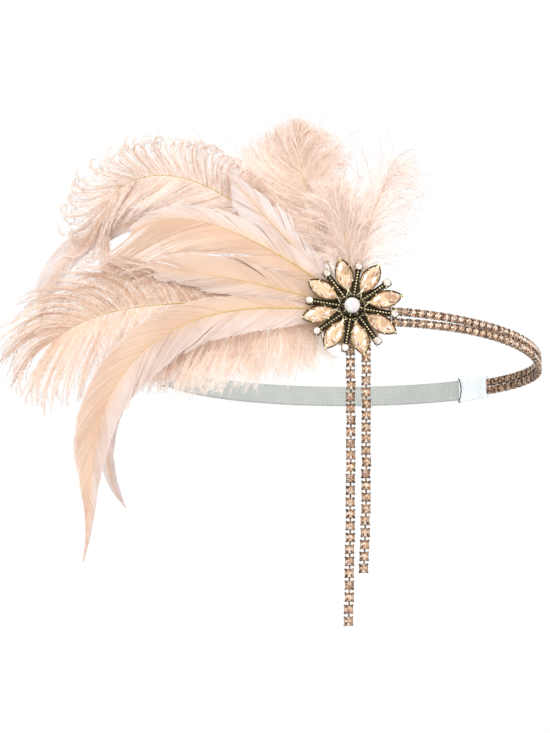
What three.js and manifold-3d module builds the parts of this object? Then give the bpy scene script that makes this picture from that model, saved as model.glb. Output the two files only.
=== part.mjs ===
// Flapper feather headband: a loop of elastic and two rows of crystal cup chain. On its front a
// flower brooch sits over a fan of goose, ostrich and marabou feathers, and two crystal strands hang
// below it. Millimetres, +Z up as worn. The origin is the centre of the head opening, level with the
// middle of the band. The brooch faces -Y and the feathers sweep towards -X.
import * as THREE from "three";
import { mergeVertices } from "three/addons/utils/BufferGeometryUtils.js";
import Module from "manifold-3d";

// Clearance between pieces that touch on the real headband
const GAP = 0.3;

// Head loop: from the origin to the middle of the band's wall, at the side, front and back
const LOOP_HALF_WIDTH = 93;
const LOOP_FRONT_DEPTH = 86;
const LOOP_BACK_DEPTH = 54;
const LOOP_STEP = 12;

// Elastic and the fabric tabs that join it to the chain. Arcs run along the loop from the front
// centre, towards +X for the right tab and towards -X for the left one
const ELASTIC_HEIGHT = 9.8;
const ELASTIC_THICKNESS = 1.2;
const ELASTIC_TUCK = 5;
const TAB_LENGTH = 15;
const TAB_WALL = 0.6;
const RIGHT_TAB_ARC = 191.5;
const LEFT_TAB_ARC = 146;

// Two rows of cup chain round the front of the loop, closer together at the tabs than at the brooch
const ROW_HEIGHT = 3.8;
const ROW_BACK = 0.9;
const ROW_FRONT = 1.9;
const ROW_EDGE = 0.8;
const ROW_SPLIT_AT_BROOCH = 1.5;
const ROW_SPLIT_ARC = 60;

// Cup chain of the two hanging strands
const CHAIN_PITCH = 5.55;
const CUP_RADIUS = 2.1;
const CUP_BACK_RADIUS = 1.8;
const CUP_DEPTH = 1.7;
const CROWN_HEIGHT = 0.8;
const TABLE_RADIUS = 1.05;
const CUP_SIDES = 8;
const LINK_WIDTH = 1;
const LINK_THICKNESS = 0.5;

// Brooch
const PETALS = 8;
const FIRST_PETAL_ANGLE = 13;
const PETAL_CENTRE_RADIUS = 15.6;
const NAVETTE_LENGTH = 15;
const NAVETTE_WIDTH = 7;
const NAVETTE_CROWN = 1.5;
const NAVETTE_GIRDLE = 0.3;
const NAVETTE_PAVILION = 1.5;
const NAVETTE_TABLE_SHARE = 0.5;
const NAVETTE_CULET_SHARE = 0.15;
const NAVETTE_ARC_SEGMENTS = 5;
const SETTING_WALL = 0.5;
const SETTING_FLOOR = 0.8;
const PLATE_RADIUS = 12;
const PLATE_THICKNESS = 1;
const ARM_INNER_RADIUS = 4.2;
const ARM_WIDTH = 2.3;
const ARM_HEIGHT = 2.1;
const ARM_BEADS = 7;
const ARM_BEAD_RADIUS = 0.8;
const ARM_BEAD_SIDES = 5;
const ROUND_STONE_CENTRE_RADIUS = 19.7;
const ROUND_STONE_RADIUS = 1.6;
const ROUND_STONE_CROWN = 0.8;
const ROUND_STONE_PAVILION = 1.2;
const ROUND_STONE_TABLE_RADIUS = 0.9;
const ROUND_STONE_FACETS = 8;
const ROUND_CUP_WALL = 0.45;
const PEARL_RADIUS = 3.6;
const PEARL_RING_RADIUS = 4.9;
const PEARL_RING_WALL = 0.9;
const PEARL_RING_HEIGHT = 2.2;
const POST_RADIUS = 2.4;

// Felt pad that carries the feathers, and how they lie between it and the brooch
const PAD_RADIUS = 16;
const PAD_THICKNESS = 2;
const BROOCH_RISE = 0;
const QUILL_START_RADIUS = POST_RADIUS + GAP;
const FEATHER_LAYERS = 9;
const LAYER_PITCH = 0.8;
const FEATHER_STACK = GAP + FEATHER_LAYERS * LAYER_PITCH;
const FAN_REACH = 150;
const TABLED_REACH = 150;
const FAN_SCALE = FAN_REACH / TABLED_REACH;
const FAN_SPREAD = 2.5;
const FAN_SWEEP_BACK = 12;
const FAN_LIFT = 0.29;

// Feather forms. Depths are at the brooch, and grow outwards with the spread of the fan
const QUILL_HALF_WIDTH = 0.8;
const QUILL_TIP_HALF_WIDTH = 0.25;
const QUILL_HALF_DEPTH = 0.25;
const VANE_CAMBER = 0.12;
const VANE_HALF_DEPTH = 0.13;
const VANE_SECTIONS = 14;
const QUILL_STEPS = 360;
const LOCK_HALF_DEPTH = 0.16;
const NOTCH_SHARE = 0.5;
const FIRST_NOTCH_SHARE = 0.05;

// A row for each feather with a closed vane. headings are the quill's directions, in degrees from
// +X towards +Z, at its root, a third, two thirds and its tip. left and right are the widest
// half-widths, seen from the brooch's front with the tip upwards. bare is the share without vane.
// Lengths and widths here and below are those of a fan that reaches TABLED_REACH.
const VANES = [
  {
    name: "goose_drooping", layer: 0, length: 202, headings: [182, 199, 253, 259],
    left: 12, right: 13, bare: 0.04,
  },
  {
    name: "goose_middle", layer: 1, length: 90, headings: [163, 165, 170, 182],
    left: 9, right: 8, bare: 0.06,
  },
  {
    name: "goose_long", layer: 3, length: 114, headings: [132, 148, 163, 219],
    left: 17, right: 10, bare: 0.05,
  },
  {
    name: "goose_upper", layer: 4, length: 86, headings: [128, 132, 130, 131],
    left: 14, right: 9, bare: 0.05,
  },
  {
    name: "goose_short", layer: 5, length: 74, headings: [158, 166, 172, 176],
    left: 9, right: 8, bare: 0.06,
  },
  {
    name: "goose_sickle", layer: 7, length: 181, headings: [145, 153, 201, 265],
    left: 6, right: 8, bare: 0.3,
  },
  {
    name: "goose_hooked", layer: 8, length: 172, headings: [193, 192, 240, 304],
    left: 7, right: 7, bare: 0.1,
  },
];

// A row for each plume, whose barbs hang in locks. leftReach and rightReach are the longest locks,
// leftAngle and rightAngle the angles at which they leave the quill, and leftBend and rightBend how
// far they turn on their way, anticlockwise. rootBarb and tipBarb are the shares of the longest lock
// at the two ends of the vane.
const PLUMES = [
  {
    name: "marabou_upper", layer: 0, length: 50, headings: [96, 94, 98, 104], bare: 0.2, locks: 5,
    leftReach: 24, leftAngle: 32, leftBend: -8, rightReach: 22, rightAngle: 30, rightBend: 8,
    rootBarb: 0.6, tipBarb: 0.4,
  },
  {
    name: "plume_left", layer: 2, length: 138, headings: [167, 181, 189, 242], bare: 0.36, locks: 10,
    leftReach: 42, leftAngle: 48, leftBend: 10, rightReach: 39, rightAngle: 64, rightBend: 50,
    rootBarb: 0.4, tipBarb: 0.62,
  },
  {
    name: "plume_right", layer: 2, length: 68, headings: [79, 79, 72, 50], bare: 0.2, locks: 7,
    leftReach: 24, leftAngle: 30, leftBend: -16, rightReach: 30, rightAngle: 34, rightBend: 12,
    rootBarb: 0.5, tipBarb: 0.5,
  },
  {
    name: "marabou_lower", layer: 3, length: 98, headings: [196, 190, 190, 198], bare: 0.12, locks: 10,
    leftReach: 27, leftAngle: 80, leftBend: -20, rightReach: 7, rightAngle: 30, rightBend: 0,
    rootBarb: 0.85, tipBarb: 0.45,
  },
  {
    name: "plume_upper", layer: 6, length: 150, headings: [125, 138, 164, 274], bare: 0.4, locks: 11,
    leftReach: 31, leftAngle: 54, leftBend: -8, rightReach: 23, rightAngle: 58, rightBend: 4,
    rootBarb: 0.6, tipBarb: 0.3,
  },
  {
    name: "plume_top", layer: 8, length: 92, headings: [118, 108, 102, 89], bare: 0.25, locks: 9,
    leftReach: 42, leftAngle: 44, leftBend: -20, rightReach: 31, rightAngle: 44, rightBend: 12,
    rootBarb: 0.6, tipBarb: 0.3,
  },
];

// Hanging strands: chosen points of each route in the brooch's frame, X and Z, from the top down
const STRANDS = [
  { name: "strand_long", stones: 25, route: [[-0.7, -14.4], [-0.9, -60], [-1.4, -100], [-2.5, -149]] },
  { name: "strand_short", stones: 20, route: [[6.5, -17.6], [6.1, -60], [5.8, -90], [4.4, -124]] },
];

const COLOURS = {
  peach: { color: 0xf0c9a6, roughness: 0.85, metalness: 0 },
  blush: { color: 0xf3dcd2, roughness: 0.8, metalness: 0 },
  ostrich: { color: 0xe8bd9c, roughness: 0.9, metalness: 0 },
  felt: { color: 0xe9cdb6, roughness: 0.95, metalness: 0 },
  elastic: { color: 0xcdd3cf, roughness: 0.9, metalness: 0 },
  tab: { color: 0xeef2f2, roughness: 0.85, metalness: 0 },
  roseGold: { color: 0xb98564, roughness: 0.35, metalness: 0.8 },
  antiqueBrass: { color: 0x5e4f2e, roughness: 0.45, metalness: 0.85 },
  champagne: { color: 0xdcae72, roughness: 0.08, metalness: 0 },
  crystal: { color: 0xf2e9df, roughness: 0.06, metalness: 0 },
  pearl: { color: 0xf4efe9, roughness: 0.25, metalness: 0 },
};

const MERGE_TOLERANCE = 1e-4;
const DEGREE = Math.PI / 180;
const wasm = await Module();
wasm.setup();

// Solids

function solidOf(geometry) {
  const bare = new THREE.BufferGeometry().setAttribute("position", geometry.getAttribute("position"));
  bare.setIndex(geometry.index);
  const merged = mergeVertices(bare, MERGE_TOLERANCE);
  const corners = merged.index.array;
  const triVerts = [];
  for (let i = 0; i < corners.length; i += 3) {
    const [a, b, c] = corners.slice(i, i + 3);
    if (a !== b && b !== c && c !== a) triVerts.push(a, b, c);
  }
  const vertProperties = merged.getAttribute("position").array;
  const made = new wasm.Mesh({ numProp: 3, vertProperties, triVerts: new Uint32Array(triVerts) });
  return new wasm.Manifold(made);
}

function geometryOf(solid) {
  const made = solid.getMesh();
  return new THREE.BufferGeometry()
    .setAttribute("position", new THREE.BufferAttribute(made.vertProperties, 3))
    .setIndex(new THREE.BufferAttribute(made.triVerts, 1));
}

// The geometries joined into one body, less the pockets.
function fused(geometries, pockets = []) {
  let solid = solidOf(geometries[0]);
  for (const g of geometries.slice(1)) solid = solid.add(solidOf(g));
  for (const g of pockets) solid = solid.subtract(solidOf(g));
  return geometryOf(solid);
}

// A closed skin through rings of points, all with the same number of points, with flat ends.
function loft(rings) {
  const count = rings[0].length;
  const points = rings.flat();
  const faces = [];
  for (let r = 0; r + 1 < rings.length; r++) {
    for (let i = 0; i < count; i++) {
      const a = r * count + i;
      const b = r * count + ((i + 1) % count);
      faces.push(a, b, b + count, a, b + count, a + count);
    }
  }
  const last = (rings.length - 1) * count;
  for (let i = 1; i + 1 < count; i++) {
    faces.push(0, i + 1, i);
    faces.push(last, last + i, last + i + 1);
  }
  if (signedVolume(points, faces) < 0) faces.reverse();
  return new THREE.BufferGeometry().setFromPoints(points).setIndex(faces);
}

// A closed skin built ring by ring. A ring is its left, top, right and bottom points, and a lock is
// the tip, top and bottom points of an outgrowth between two rings.
class Skin {
  points = [];
  faces = [];
  first = null;
  last = null;

  add(...points) {
    return points.map((p) => this.points.push(p) - 1);
  }

  // Faces round a polygon, all sharing its hub.
  fan(hub, polygon) {
    polygon.forEach((p, i) => this.faces.push(hub, p, polygon[(i + 1) % polygon.length]));
  }

  side(a, b, topA, topB, bottomA, bottomB, lock) {
    if (lock) {
      const [tip, top, bottom] = lock;
      this.fan(top, [a, tip, b, topB, topA]);
      this.fan(bottom, [a, bottomA, bottomB, b, tip]);
    } else {
      this.faces.push(a, b, topB, a, topB, topA, a, bottomA, bottomB, a, bottomB, b);
    }
  }

  join(from, to, leftLock, rightLock) {
    this.last = to;
    if (!from) {
      this.first = to;
      return to;
    }
    this.side(from[0], to[0], from[1], to[1], from[3], to[3], leftLock);
    const mirrored = rightLock && [rightLock[0], rightLock[2], rightLock[1]];
    this.side(from[2], to[2], from[3], to[3], from[1], to[1], mirrored);
    return to;
  }

  close() {
    const [a, b, c, d] = this.first;
    const [e, f, g, h] = this.last;
    this.faces.push(a, b, c, a, c, d, e, g, f, e, h, g);
    if (signedVolume(this.points, this.faces) < 0) this.faces.reverse();
    return new THREE.BufferGeometry().setFromPoints(this.points).setIndex(this.faces);
  }
}

function signedVolume(points, faces) {
  let volume = 0;
  const cross = new THREE.Vector3();
  for (let i = 0; i < faces.length; i += 3) {
    cross.crossVectors(points[faces[i + 1]], points[faces[i + 2]]);
    volume += points[faces[i]].dot(cross) / 6;
  }
  return volume;
}

function mesh(name, geometry, colour) {
  geometry.computeVertexNormals();
  const made = new THREE.Mesh(geometry, new THREE.MeshStandardMaterial(COLOURS[colour]));
  made.name = name;
  return made;
}

// Head loop

class HeadLoop extends THREE.Curve {
  getPoint(t, target = new THREE.Vector3()) {
    const angle = 2 * Math.PI * t;
    const depth = Math.cos(angle) > 0 ? LOOP_FRONT_DEPTH : LOOP_BACK_DEPTH;
    return target.set(LOOP_HALF_WIDTH * Math.sin(angle), -depth * Math.cos(angle), 0);
  }
}

const LOOP = new HeadLoop();
LOOP.arcLengthDivisions = 2000;
const LOOP_LENGTH = LOOP.getLength();
const LOOP_STATIONS = Math.round(LOOP_LENGTH / LOOP_STEP);
const STATION_PITCH = LOOP_LENGTH / LOOP_STATIONS;

// A ring of the band's section at one of the stations round the loop. section holds pairs of
// outward and upward offsets from the middle of the wall.
function stationRing(station, section) {
  const share = (station / LOOP_STATIONS + 1) % 1;
  const place = LOOP.getPointAt(share);
  const along = LOOP.getTangentAt(share);
  return section.map(([out, up]) => new THREE.Vector3(place.x + along.y * out, place.y - along.x * out, up));
}

// The ring at a signed arc from the front centre, on the straight line between two stations, so that
// every strip of the band has the same facets.
function bandRing(arc, section) {
  const station = Math.floor(arc / STATION_PITCH);
  const next = stationRing(station + 1, section);
  return stationRing(station, section).map((p, i) => p.lerp(next[i], arc / STATION_PITCH - station));
}

function bandStrip(fromArc, toArc, sectionAt) {
  const nearest = STATION_PITCH / 10;
  const arcs = [fromArc];
  for (let k = Math.ceil(fromArc / STATION_PITCH); k * STATION_PITCH < toArc; k++) {
    const arc = k * STATION_PITCH;
    if (arc - fromArc > nearest && toArc - arc > nearest) arcs.push(arc);
  }
  arcs.push(toArc);
  return loft(arcs.map((arc) => bandRing(arc, sectionAt(arc))));
}

function rectangle(inside, outside, halfHeight) {
  return [[-inside, -halfHeight], [outside, -halfHeight], [outside, halfHeight], [-inside, halfHeight]];
}

function elasticBand() {
  const half = ELASTIC_THICKNESS / 2;
  const start = RIGHT_TAB_ARC + TAB_LENGTH / 2 - ELASTIC_TUCK;
  const end = LOOP_LENGTH - LEFT_TAB_ARC - TAB_LENGTH / 2 + ELASTIC_TUCK;
  const section = rectangle(half, half, ELASTIC_HEIGHT / 2);
  return mesh("elastic_band", bandStrip(start, end, () => section), "elastic");
}

// A fabric tab with a pocket for the elastic's end. side is 1 for the right one, -1 for the left.
function endTab(name, side, centreArc) {
  const pocketThickness = ELASTIC_THICKNESS / 2 + GAP;
  const pocketHeight = ELASTIC_HEIGHT / 2 + GAP;
  const outerThickness = pocketThickness + TAB_WALL;
  const outer = rectangle(outerThickness, outerThickness, pocketHeight + TAB_WALL);
  const pocket = rectangle(pocketThickness, pocketThickness, pocketHeight);
  const arc = side * centreArc;
  const mouth = arc + (side * TAB_LENGTH) / 2;
  const pocketFloor = mouth - side * (ELASTIC_TUCK + GAP);
  const pocketMouth = mouth + side * GAP;
  const body = bandStrip(arc - TAB_LENGTH / 2, arc + TAB_LENGTH / 2, () => outer);
  const [low, high] = [pocketFloor, pocketMouth].sort((a, b) => a - b);
  const pocketBody = bandStrip(low, high, () => pocket);
  return mesh(name, fused([body], [pocketBody]), "tab");
}

// Height of a row's middle above the band's middle: the rows part towards the brooch.
function rowHeightAt(arc) {
  const nearBrooch = Math.max(0, 1 - Math.abs(arc) / ROW_SPLIT_ARC);
  const split = GAP + (ROW_SPLIT_AT_BROOCH - GAP) * (1 - (1 - nearBrooch) ** 2);
  return ROW_HEIGHT / 2 + split / 2;
}

// A row of cup chain as one strip with bevelled front edges. side is 1 for the upper row, -1 for the lower.
function chainRow(name, side) {
  const half = ROW_HEIGHT / 2;
  const profile = [
    [-ROW_BACK, -half], [ROW_FRONT - ROW_EDGE, -half], [ROW_FRONT, -half + ROW_EDGE],
    [ROW_FRONT, half - ROW_EDGE], [ROW_FRONT - ROW_EDGE, half], [-ROW_BACK, half],
  ];
  const start = -LEFT_TAB_ARC + TAB_LENGTH / 2 + GAP;
  const end = RIGHT_TAB_ARC - TAB_LENGTH / 2 - GAP;
  const section = (arc) => profile.map(([out, up]) => [out, up + side * rowHeightAt(arc)]);
  return mesh(name, bandStrip(start, end, section), "roseGold");
}

// Brooch, in its own frame: X to the right, Y up and Z out towards the viewer, with its back at Z = 0

function around(geometry, radius, angle) {
  return geometry.translate(radius, 0, 0).rotateZ(angle * DEGREE);
}

function petalAngle(i) {
  return FIRST_PETAL_ANGLE + (360 / PETALS) * i;
}

function armAngle(i) {
  return petalAngle(i + 0.5);
}

function navetteShape(halfLength, halfWidth) {
  const radius = (halfLength ** 2 + halfWidth ** 2) / (2 * halfWidth);
  const middle = radius - halfWidth;
  const start = Math.atan2(middle, halfLength);
  return new THREE.Shape()
    .absarc(0, -middle, radius, start, Math.PI - start, false)
    .absarc(0, middle, radius, Math.PI + start, 2 * Math.PI - start, false);
}

function extruded(shape, low, high) {
  const options = { depth: high - low, bevelEnabled: false, curveSegments: NAVETTE_ARC_SEGMENTS };
  return new THREE.ExtrudeGeometry(shape, options).translate(0, 0, low);
}

function upright(radius, low, high, sides) {
  return new THREE.CylinderGeometry(radius, radius, high - low, sides)
    .rotateX(Math.PI / 2)
    .translate(0, 0, (low + high) / 2);
}

function turned(profile, sides) {
  const points = profile.map(([radius, height]) => new THREE.Vector2(radius, height));
  return new THREE.LatheGeometry(points, sides).rotateX(Math.PI / 2);
}

const NAVETTE_SEAT = SETTING_FLOOR + GAP;
const NAVETTE_GIRDLE_LOW = NAVETTE_SEAT + NAVETTE_PAVILION;
const SETTING_HEIGHT = NAVETTE_GIRDLE_LOW + NAVETTE_GIRDLE;
const ROUND_STONE_SEAT = PLATE_THICKNESS + GAP;
const ROUND_CUP_RADIUS = ROUND_STONE_RADIUS + GAP + ROUND_CUP_WALL;
const ROUND_CUP_HEIGHT = ROUND_STONE_SEAT + ROUND_STONE_PAVILION + GAP;

function broochFrame() {
  const halfLength = NAVETTE_LENGTH / 2 + GAP;
  const halfWidth = NAVETTE_WIDTH / 2 + GAP;
  const bodies = [
    upright(PLATE_RADIUS, 0, PLATE_THICKNESS, 2 * PETALS),
    upright(POST_RADIUS, GAP - FEATHER_STACK, PLATE_THICKNESS / 2, CUP_SIDES),
    upright(PEARL_RING_RADIUS, PLATE_THICKNESS / 2, PLATE_THICKNESS + PEARL_RING_HEIGHT, 2 * PETALS),
  ];
  const pockets = [
    upright(PEARL_RING_RADIUS - PEARL_RING_WALL, PLATE_THICKNESS, 2 * PEARL_RADIUS, 2 * PETALS),
  ];
  const armLength = ROUND_STONE_CENTRE_RADIUS - ARM_INNER_RADIUS;
  const beadPitch = (armLength - ROUND_CUP_RADIUS) / ARM_BEADS;
  for (let i = 0; i < PETALS; i++) {
    const rim = navetteShape(halfLength + SETTING_WALL, halfWidth + SETTING_WALL);
    const outer = extruded(rim, 0, SETTING_HEIGHT);
    const inner = extruded(navetteShape(halfLength, halfWidth), SETTING_FLOOR, 2 * SETTING_HEIGHT);
    bodies.push(around(outer, PETAL_CENTRE_RADIUS, petalAngle(i)));
    pockets.push(around(inner, PETAL_CENTRE_RADIUS, petalAngle(i)));
    const arm = new THREE.BoxGeometry(armLength, ARM_WIDTH, ARM_HEIGHT).translate(0, 0, ARM_HEIGHT / 2);
    bodies.push(around(arm, ARM_INNER_RADIUS + armLength / 2, armAngle(i)));
    const cup = upright(ROUND_CUP_RADIUS, 0, ROUND_CUP_HEIGHT, CUP_SIDES);
    const inside = ROUND_CUP_RADIUS - ROUND_CUP_WALL;
    const cupPocket = upright(inside, PLATE_THICKNESS, 2 * ROUND_CUP_HEIGHT, CUP_SIDES);
    bodies.push(around(cup, ROUND_STONE_CENTRE_RADIUS, armAngle(i)));
    pockets.push(around(cupPocket, ROUND_STONE_CENTRE_RADIUS, armAngle(i)));
    for (let k = 1; k < ARM_BEADS; k++) {
      const bead = new THREE.SphereGeometry(ARM_BEAD_RADIUS, ARM_BEAD_SIDES, 2).rotateX(Math.PI / 2);
      bodies.push(around(bead.translate(0, 0, ARM_HEIGHT), PEARL_RING_RADIUS + beadPitch * k, armAngle(i)));
    }
  }
  return mesh("brooch_frame", fused(bodies, pockets), "antiqueBrass");
}

// A boat-shaped stone: a keel, a girdle, and a crown of facets round a flat table.
function petalStone(i) {
  const outline = navetteShape(NAVETTE_LENGTH / 2, NAVETTE_WIDTH / 2)
    .getPoints(NAVETTE_ARC_SEGMENTS)
    .filter((p, k, all) => k === 0 || p.distanceTo(all[k - 1]) > MERGE_TOLERANCE)
    .slice(0, 2 * NAVETTE_ARC_SEGMENTS);
  const ring = (share, height) => outline.map((p) => new THREE.Vector3(p.x * share, p.y * share, height));
  const crown = SETTING_HEIGHT + NAVETTE_CROWN;
  const stone = loft([
    ring(NAVETTE_CULET_SHARE, NAVETTE_SEAT),
    ring(1, NAVETTE_GIRDLE_LOW),
    ring(1, SETTING_HEIGHT),
    ring(NAVETTE_TABLE_SHARE, crown),
  ]);
  return mesh(`petal_stone_${i + 1}`, around(stone, PETAL_CENTRE_RADIUS, petalAngle(i)), "champagne");
}

function roundStone(i) {
  const girdle = ROUND_STONE_SEAT + ROUND_STONE_PAVILION;
  const profile = [
    [0, ROUND_STONE_SEAT], [ROUND_STONE_RADIUS, girdle], [ROUND_STONE_RADIUS, girdle + GAP],
    [ROUND_STONE_TABLE_RADIUS, girdle + GAP + ROUND_STONE_CROWN], [0, girdle + GAP + ROUND_STONE_CROWN],
  ];
  const stone = fused([turned(profile, ROUND_STONE_FACETS)]);
  return mesh(`round_stone_${i + 1}`, around(stone, ROUND_STONE_CENTRE_RADIUS, armAngle(i)), "crystal");
}

function centrePearl() {
  const pearl = new THREE.SphereGeometry(PEARL_RADIUS, 12, 8).rotateX(Math.PI / 2);
  return mesh("centre_pearl", pearl.translate(0, 0, PLATE_THICKNESS + GAP + PEARL_RADIUS), "pearl");
}

// Feathers, in the brooch's frame. Each layer of the fan is a sheet that never meets the next one.

// The place of a point of a feather. x and y are in the plane of the fan, depth is out of its layer.
// The layers lie flat over the pad. Beyond it they part, and the fan sweeps back and lifts.
function fanned(x, y, layer, depth) {
  const reach = Math.max(0, Math.hypot(x, y) - PAD_RADIUS) / FAN_REACH;
  const z = depth - GAP / 2 - (layer + 0.5) * LAYER_PITCH;
  const backwards = FAN_SWEEP_BACK * reach ** 2 - z * FAN_SPREAD * reach;
  return new THREE.Vector3(x, y + FAN_LIFT * backwards, z - backwards);
}

// The value at share of a smooth line through four evenly spaced values.
function throughFour(values, share) {
  let sum = 0;
  for (let i = 0; i < 4; i++) {
    let weight = values[i];
    for (let j = 0; j < 4; j++) if (j !== i) weight *= (share * 3 - j) / (i - j);
    sum += weight;
  }
  return sum;
}

function heading(angle) {
  return [Math.cos(angle * DEGREE), Math.sin(angle * DEGREE)];
}

// Places and headings along a feather's quill, in the plane of the fan.
function quillLine(feather, sections) {
  const [startX, startY] = heading(feather.headings[0]);
  const line = [];
  let x = startX * QUILL_START_RADIUS;
  let y = startY * QUILL_START_RADIUS;
  for (let i = 0; i <= sections; i++) {
    const share = i / sections;
    line.push({ x, y, share, angle: throughFour(feather.headings, share) });
    const [dx, dy] = heading(throughFour(feather.headings, share + 0.5 / sections));
    x += (dx * feather.length * FAN_SCALE) / sections;
    y += (dy * feather.length * FAN_SCALE) / sections;
  }
  return line;
}

// A lens-shaped section across the quill, with its edges lowered by camber.
function lens(place, layer, left, right, halfDepth, camber) {
  const [nx, ny] = heading(place.angle + 90);
  return [
    fanned(place.x + nx * left, place.y + ny * left, layer, -camber),
    fanned(place.x, place.y, layer, halfDepth),
    fanned(place.x - nx * right, place.y - ny * right, layer, -camber),
    fanned(place.x, place.y, layer, -halfDepth),
  ];
}

function vaneWidth(share, bare) {
  const t = Math.max(0, (share - bare) / (1 - bare));
  return Math.sin(Math.PI * t ** 0.8) ** 0.75;
}

function quillHalfWidth(share) {
  return THREE.MathUtils.lerp(QUILL_HALF_WIDTH, QUILL_TIP_HALF_WIDTH, share);
}

function vaneFeather(feather) {
  const rings = quillLine(feather, VANE_SECTIONS).map((place) => {
    const quill = quillHalfWidth(place.share);
    const width = Math.max(0, vaneWidth(place.share, feather.bare) || 0);
    const onQuill = width * feather.left * FAN_SCALE < QUILL_HALF_WIDTH;
    const left = Math.max(quill, feather.left * width * FAN_SCALE);
    const right = Math.max(quill, feather.right * width * FAN_SCALE);
    const halfDepth = onQuill ? QUILL_HALF_DEPTH : VANE_HALF_DEPTH;
    return lens(place, feather.layer, left, right, halfDepth, onQuill ? 0 : VANE_CAMBER);
  });
  return mesh(feather.name, loft(rings), feather.layer % 2 ? "blush" : "peach");
}

// A point on a plume's barb, at a share of its way from its place on the quill. side is 1 for the
// left, -1 for the right.
function barbPoint(feather, place, side, share) {
  const [reach, leaving, bend] = side > 0
    ? [feather.leftReach, feather.leftAngle, feather.leftBend]
    : [feather.rightReach, feather.rightAngle, feather.rightBend];
  const along = (place.share - feather.bare) / (1 - feather.bare);
  const ends = THREE.MathUtils.lerp(feather.rootBarb, feather.tipBarb, along);
  const length = reach * FAN_SCALE * THREE.MathUtils.lerp(ends, 1, Math.sin(Math.PI * along));
  const [dx, dy] = heading(place.angle + side * leaving + (bend * share) / 2);
  return { x: place.x + dx * length * share, y: place.y + dy * length * share };
}

// A plume in one skin: a quill whose sides run out into locks of barbs, with a notch between locks.
function plumeFeather(feather) {
  const { layer, bare, locks, name } = feather;
  const fine = quillLine(feather, QUILL_STEPS);
  const placeAt = (share) => fine[Math.round(share * QUILL_STEPS)];
  const skin = new Skin();
  let last = null;
  for (const share of [0, bare / 2]) {
    const half = quillHalfWidth(share);
    const ring = skin.add(...lens(placeAt(share), layer, half, half, QUILL_HALF_DEPTH, 0));
    last = skin.join(last, ring);
  }
  for (let k = 0; k <= locks; k++) {
    const share = bare + ((1 - bare) * k) / locks;
    const place = placeAt(share);
    const notch = k === 0 ? FIRST_NOTCH_SHARE : NOTCH_SHARE;
    const [left, right] = [1, -1].map((side) => barbPoint(feather, place, side, notch));
    const ring = skin.add(
      fanned(left.x, left.y, layer, 0), fanned(place.x, place.y, layer, QUILL_HALF_DEPTH),
      fanned(right.x, right.y, layer, 0), fanned(place.x, place.y, layer, -QUILL_HALF_DEPTH),
    );
    const middle = placeAt(share - (0.5 * (1 - bare)) / locks);
    const lockOn = (side) => {
      const tip = barbPoint(feather, middle, side, 1);
      const ridge = barbPoint(feather, middle, side, NOTCH_SHARE);
      return skin.add(
        fanned(tip.x, tip.y, layer, 0),
        fanned(ridge.x, ridge.y, layer, LOCK_HALF_DEPTH), fanned(ridge.x, ridge.y, layer, -LOCK_HALF_DEPTH),
      );
    };
    last = k === 0 ? skin.join(last, ring) : skin.join(last, ring, lockOn(1), lockOn(-1));
  }
  return mesh(name, skin.close(), "ostrich");
}

function featherPad() {
  return mesh("feather_pad", upright(PAD_RADIUS, -FEATHER_STACK - PAD_THICKNESS, -FEATHER_STACK, 24), "felt");
}

// Hanging strands, with each stone fused to its cup and the cups to their links

function strand({ name, stones, route }) {
  const backZ = -GAP - CUP_DEPTH - CROWN_HEIGHT;
  const curve = new THREE.CatmullRomCurve3(route.map(([x, y]) => new THREE.Vector3(x, y, backZ)));
  const length = curve.getLength();
  const bodies = [];
  const linkRings = [];
  for (let i = 0; i < stones; i++) {
    const place = curve.getPointAt(Math.min(1, (i * CHAIN_PITCH) / length));
    const profile = [
      [0, 0], [CUP_BACK_RADIUS, 0], [CUP_RADIUS, CUP_DEPTH],
      [TABLE_RADIUS, CUP_DEPTH + CROWN_HEIGHT], [0, CUP_DEPTH + CROWN_HEIGHT],
    ];
    bodies.push(turned(profile, CUP_SIDES).translate(place.x, place.y, place.z));
    const low = place.z + LINK_THICKNESS;
    const high = place.z + 2 * LINK_THICKNESS;
    const [left, right] = [place.x - LINK_WIDTH / 2, place.x + LINK_WIDTH / 2];
    const corners = [[left, low], [right, low], [right, high], [left, high]];
    linkRings.push(corners.map(([x, z]) => new THREE.Vector3(x, place.y, z)));
  }
  return mesh(name, fused([loft(linkRings), ...bodies]), "roseGold");
}

// Assembly

const face = new THREE.Group();
face.rotation.x = Math.PI / 2;
face.position.set(0, -(LOOP_FRONT_DEPTH + ROW_FRONT + GAP + PAD_THICKNESS + FEATHER_STACK), BROOCH_RISE);
face.add(broochFrame(), centrePearl(), featherPad());
for (let i = 0; i < PETALS; i++) face.add(petalStone(i), roundStone(i));
for (const feather of VANES) face.add(vaneFeather(feather));
for (const feather of PLUMES) face.add(plumeFeather(feather));
for (const hanging of STRANDS) face.add(strand(hanging));

const headband = new THREE.Group();
headband.add(elasticBand());
headband.add(endTab("end_tab_right", 1, RIGHT_TAB_ARC), endTab("end_tab_left", -1, LEFT_TAB_ARC));
headband.add(chainRow("crystal_row_upper", 1), chainRow("crystal_row_lower", -1), face);

export default headband;
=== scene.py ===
import math
from collections import namedtuple

import bmesh
import bpy
import numpy as np
from mathutils import Matrix, Vector


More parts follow.
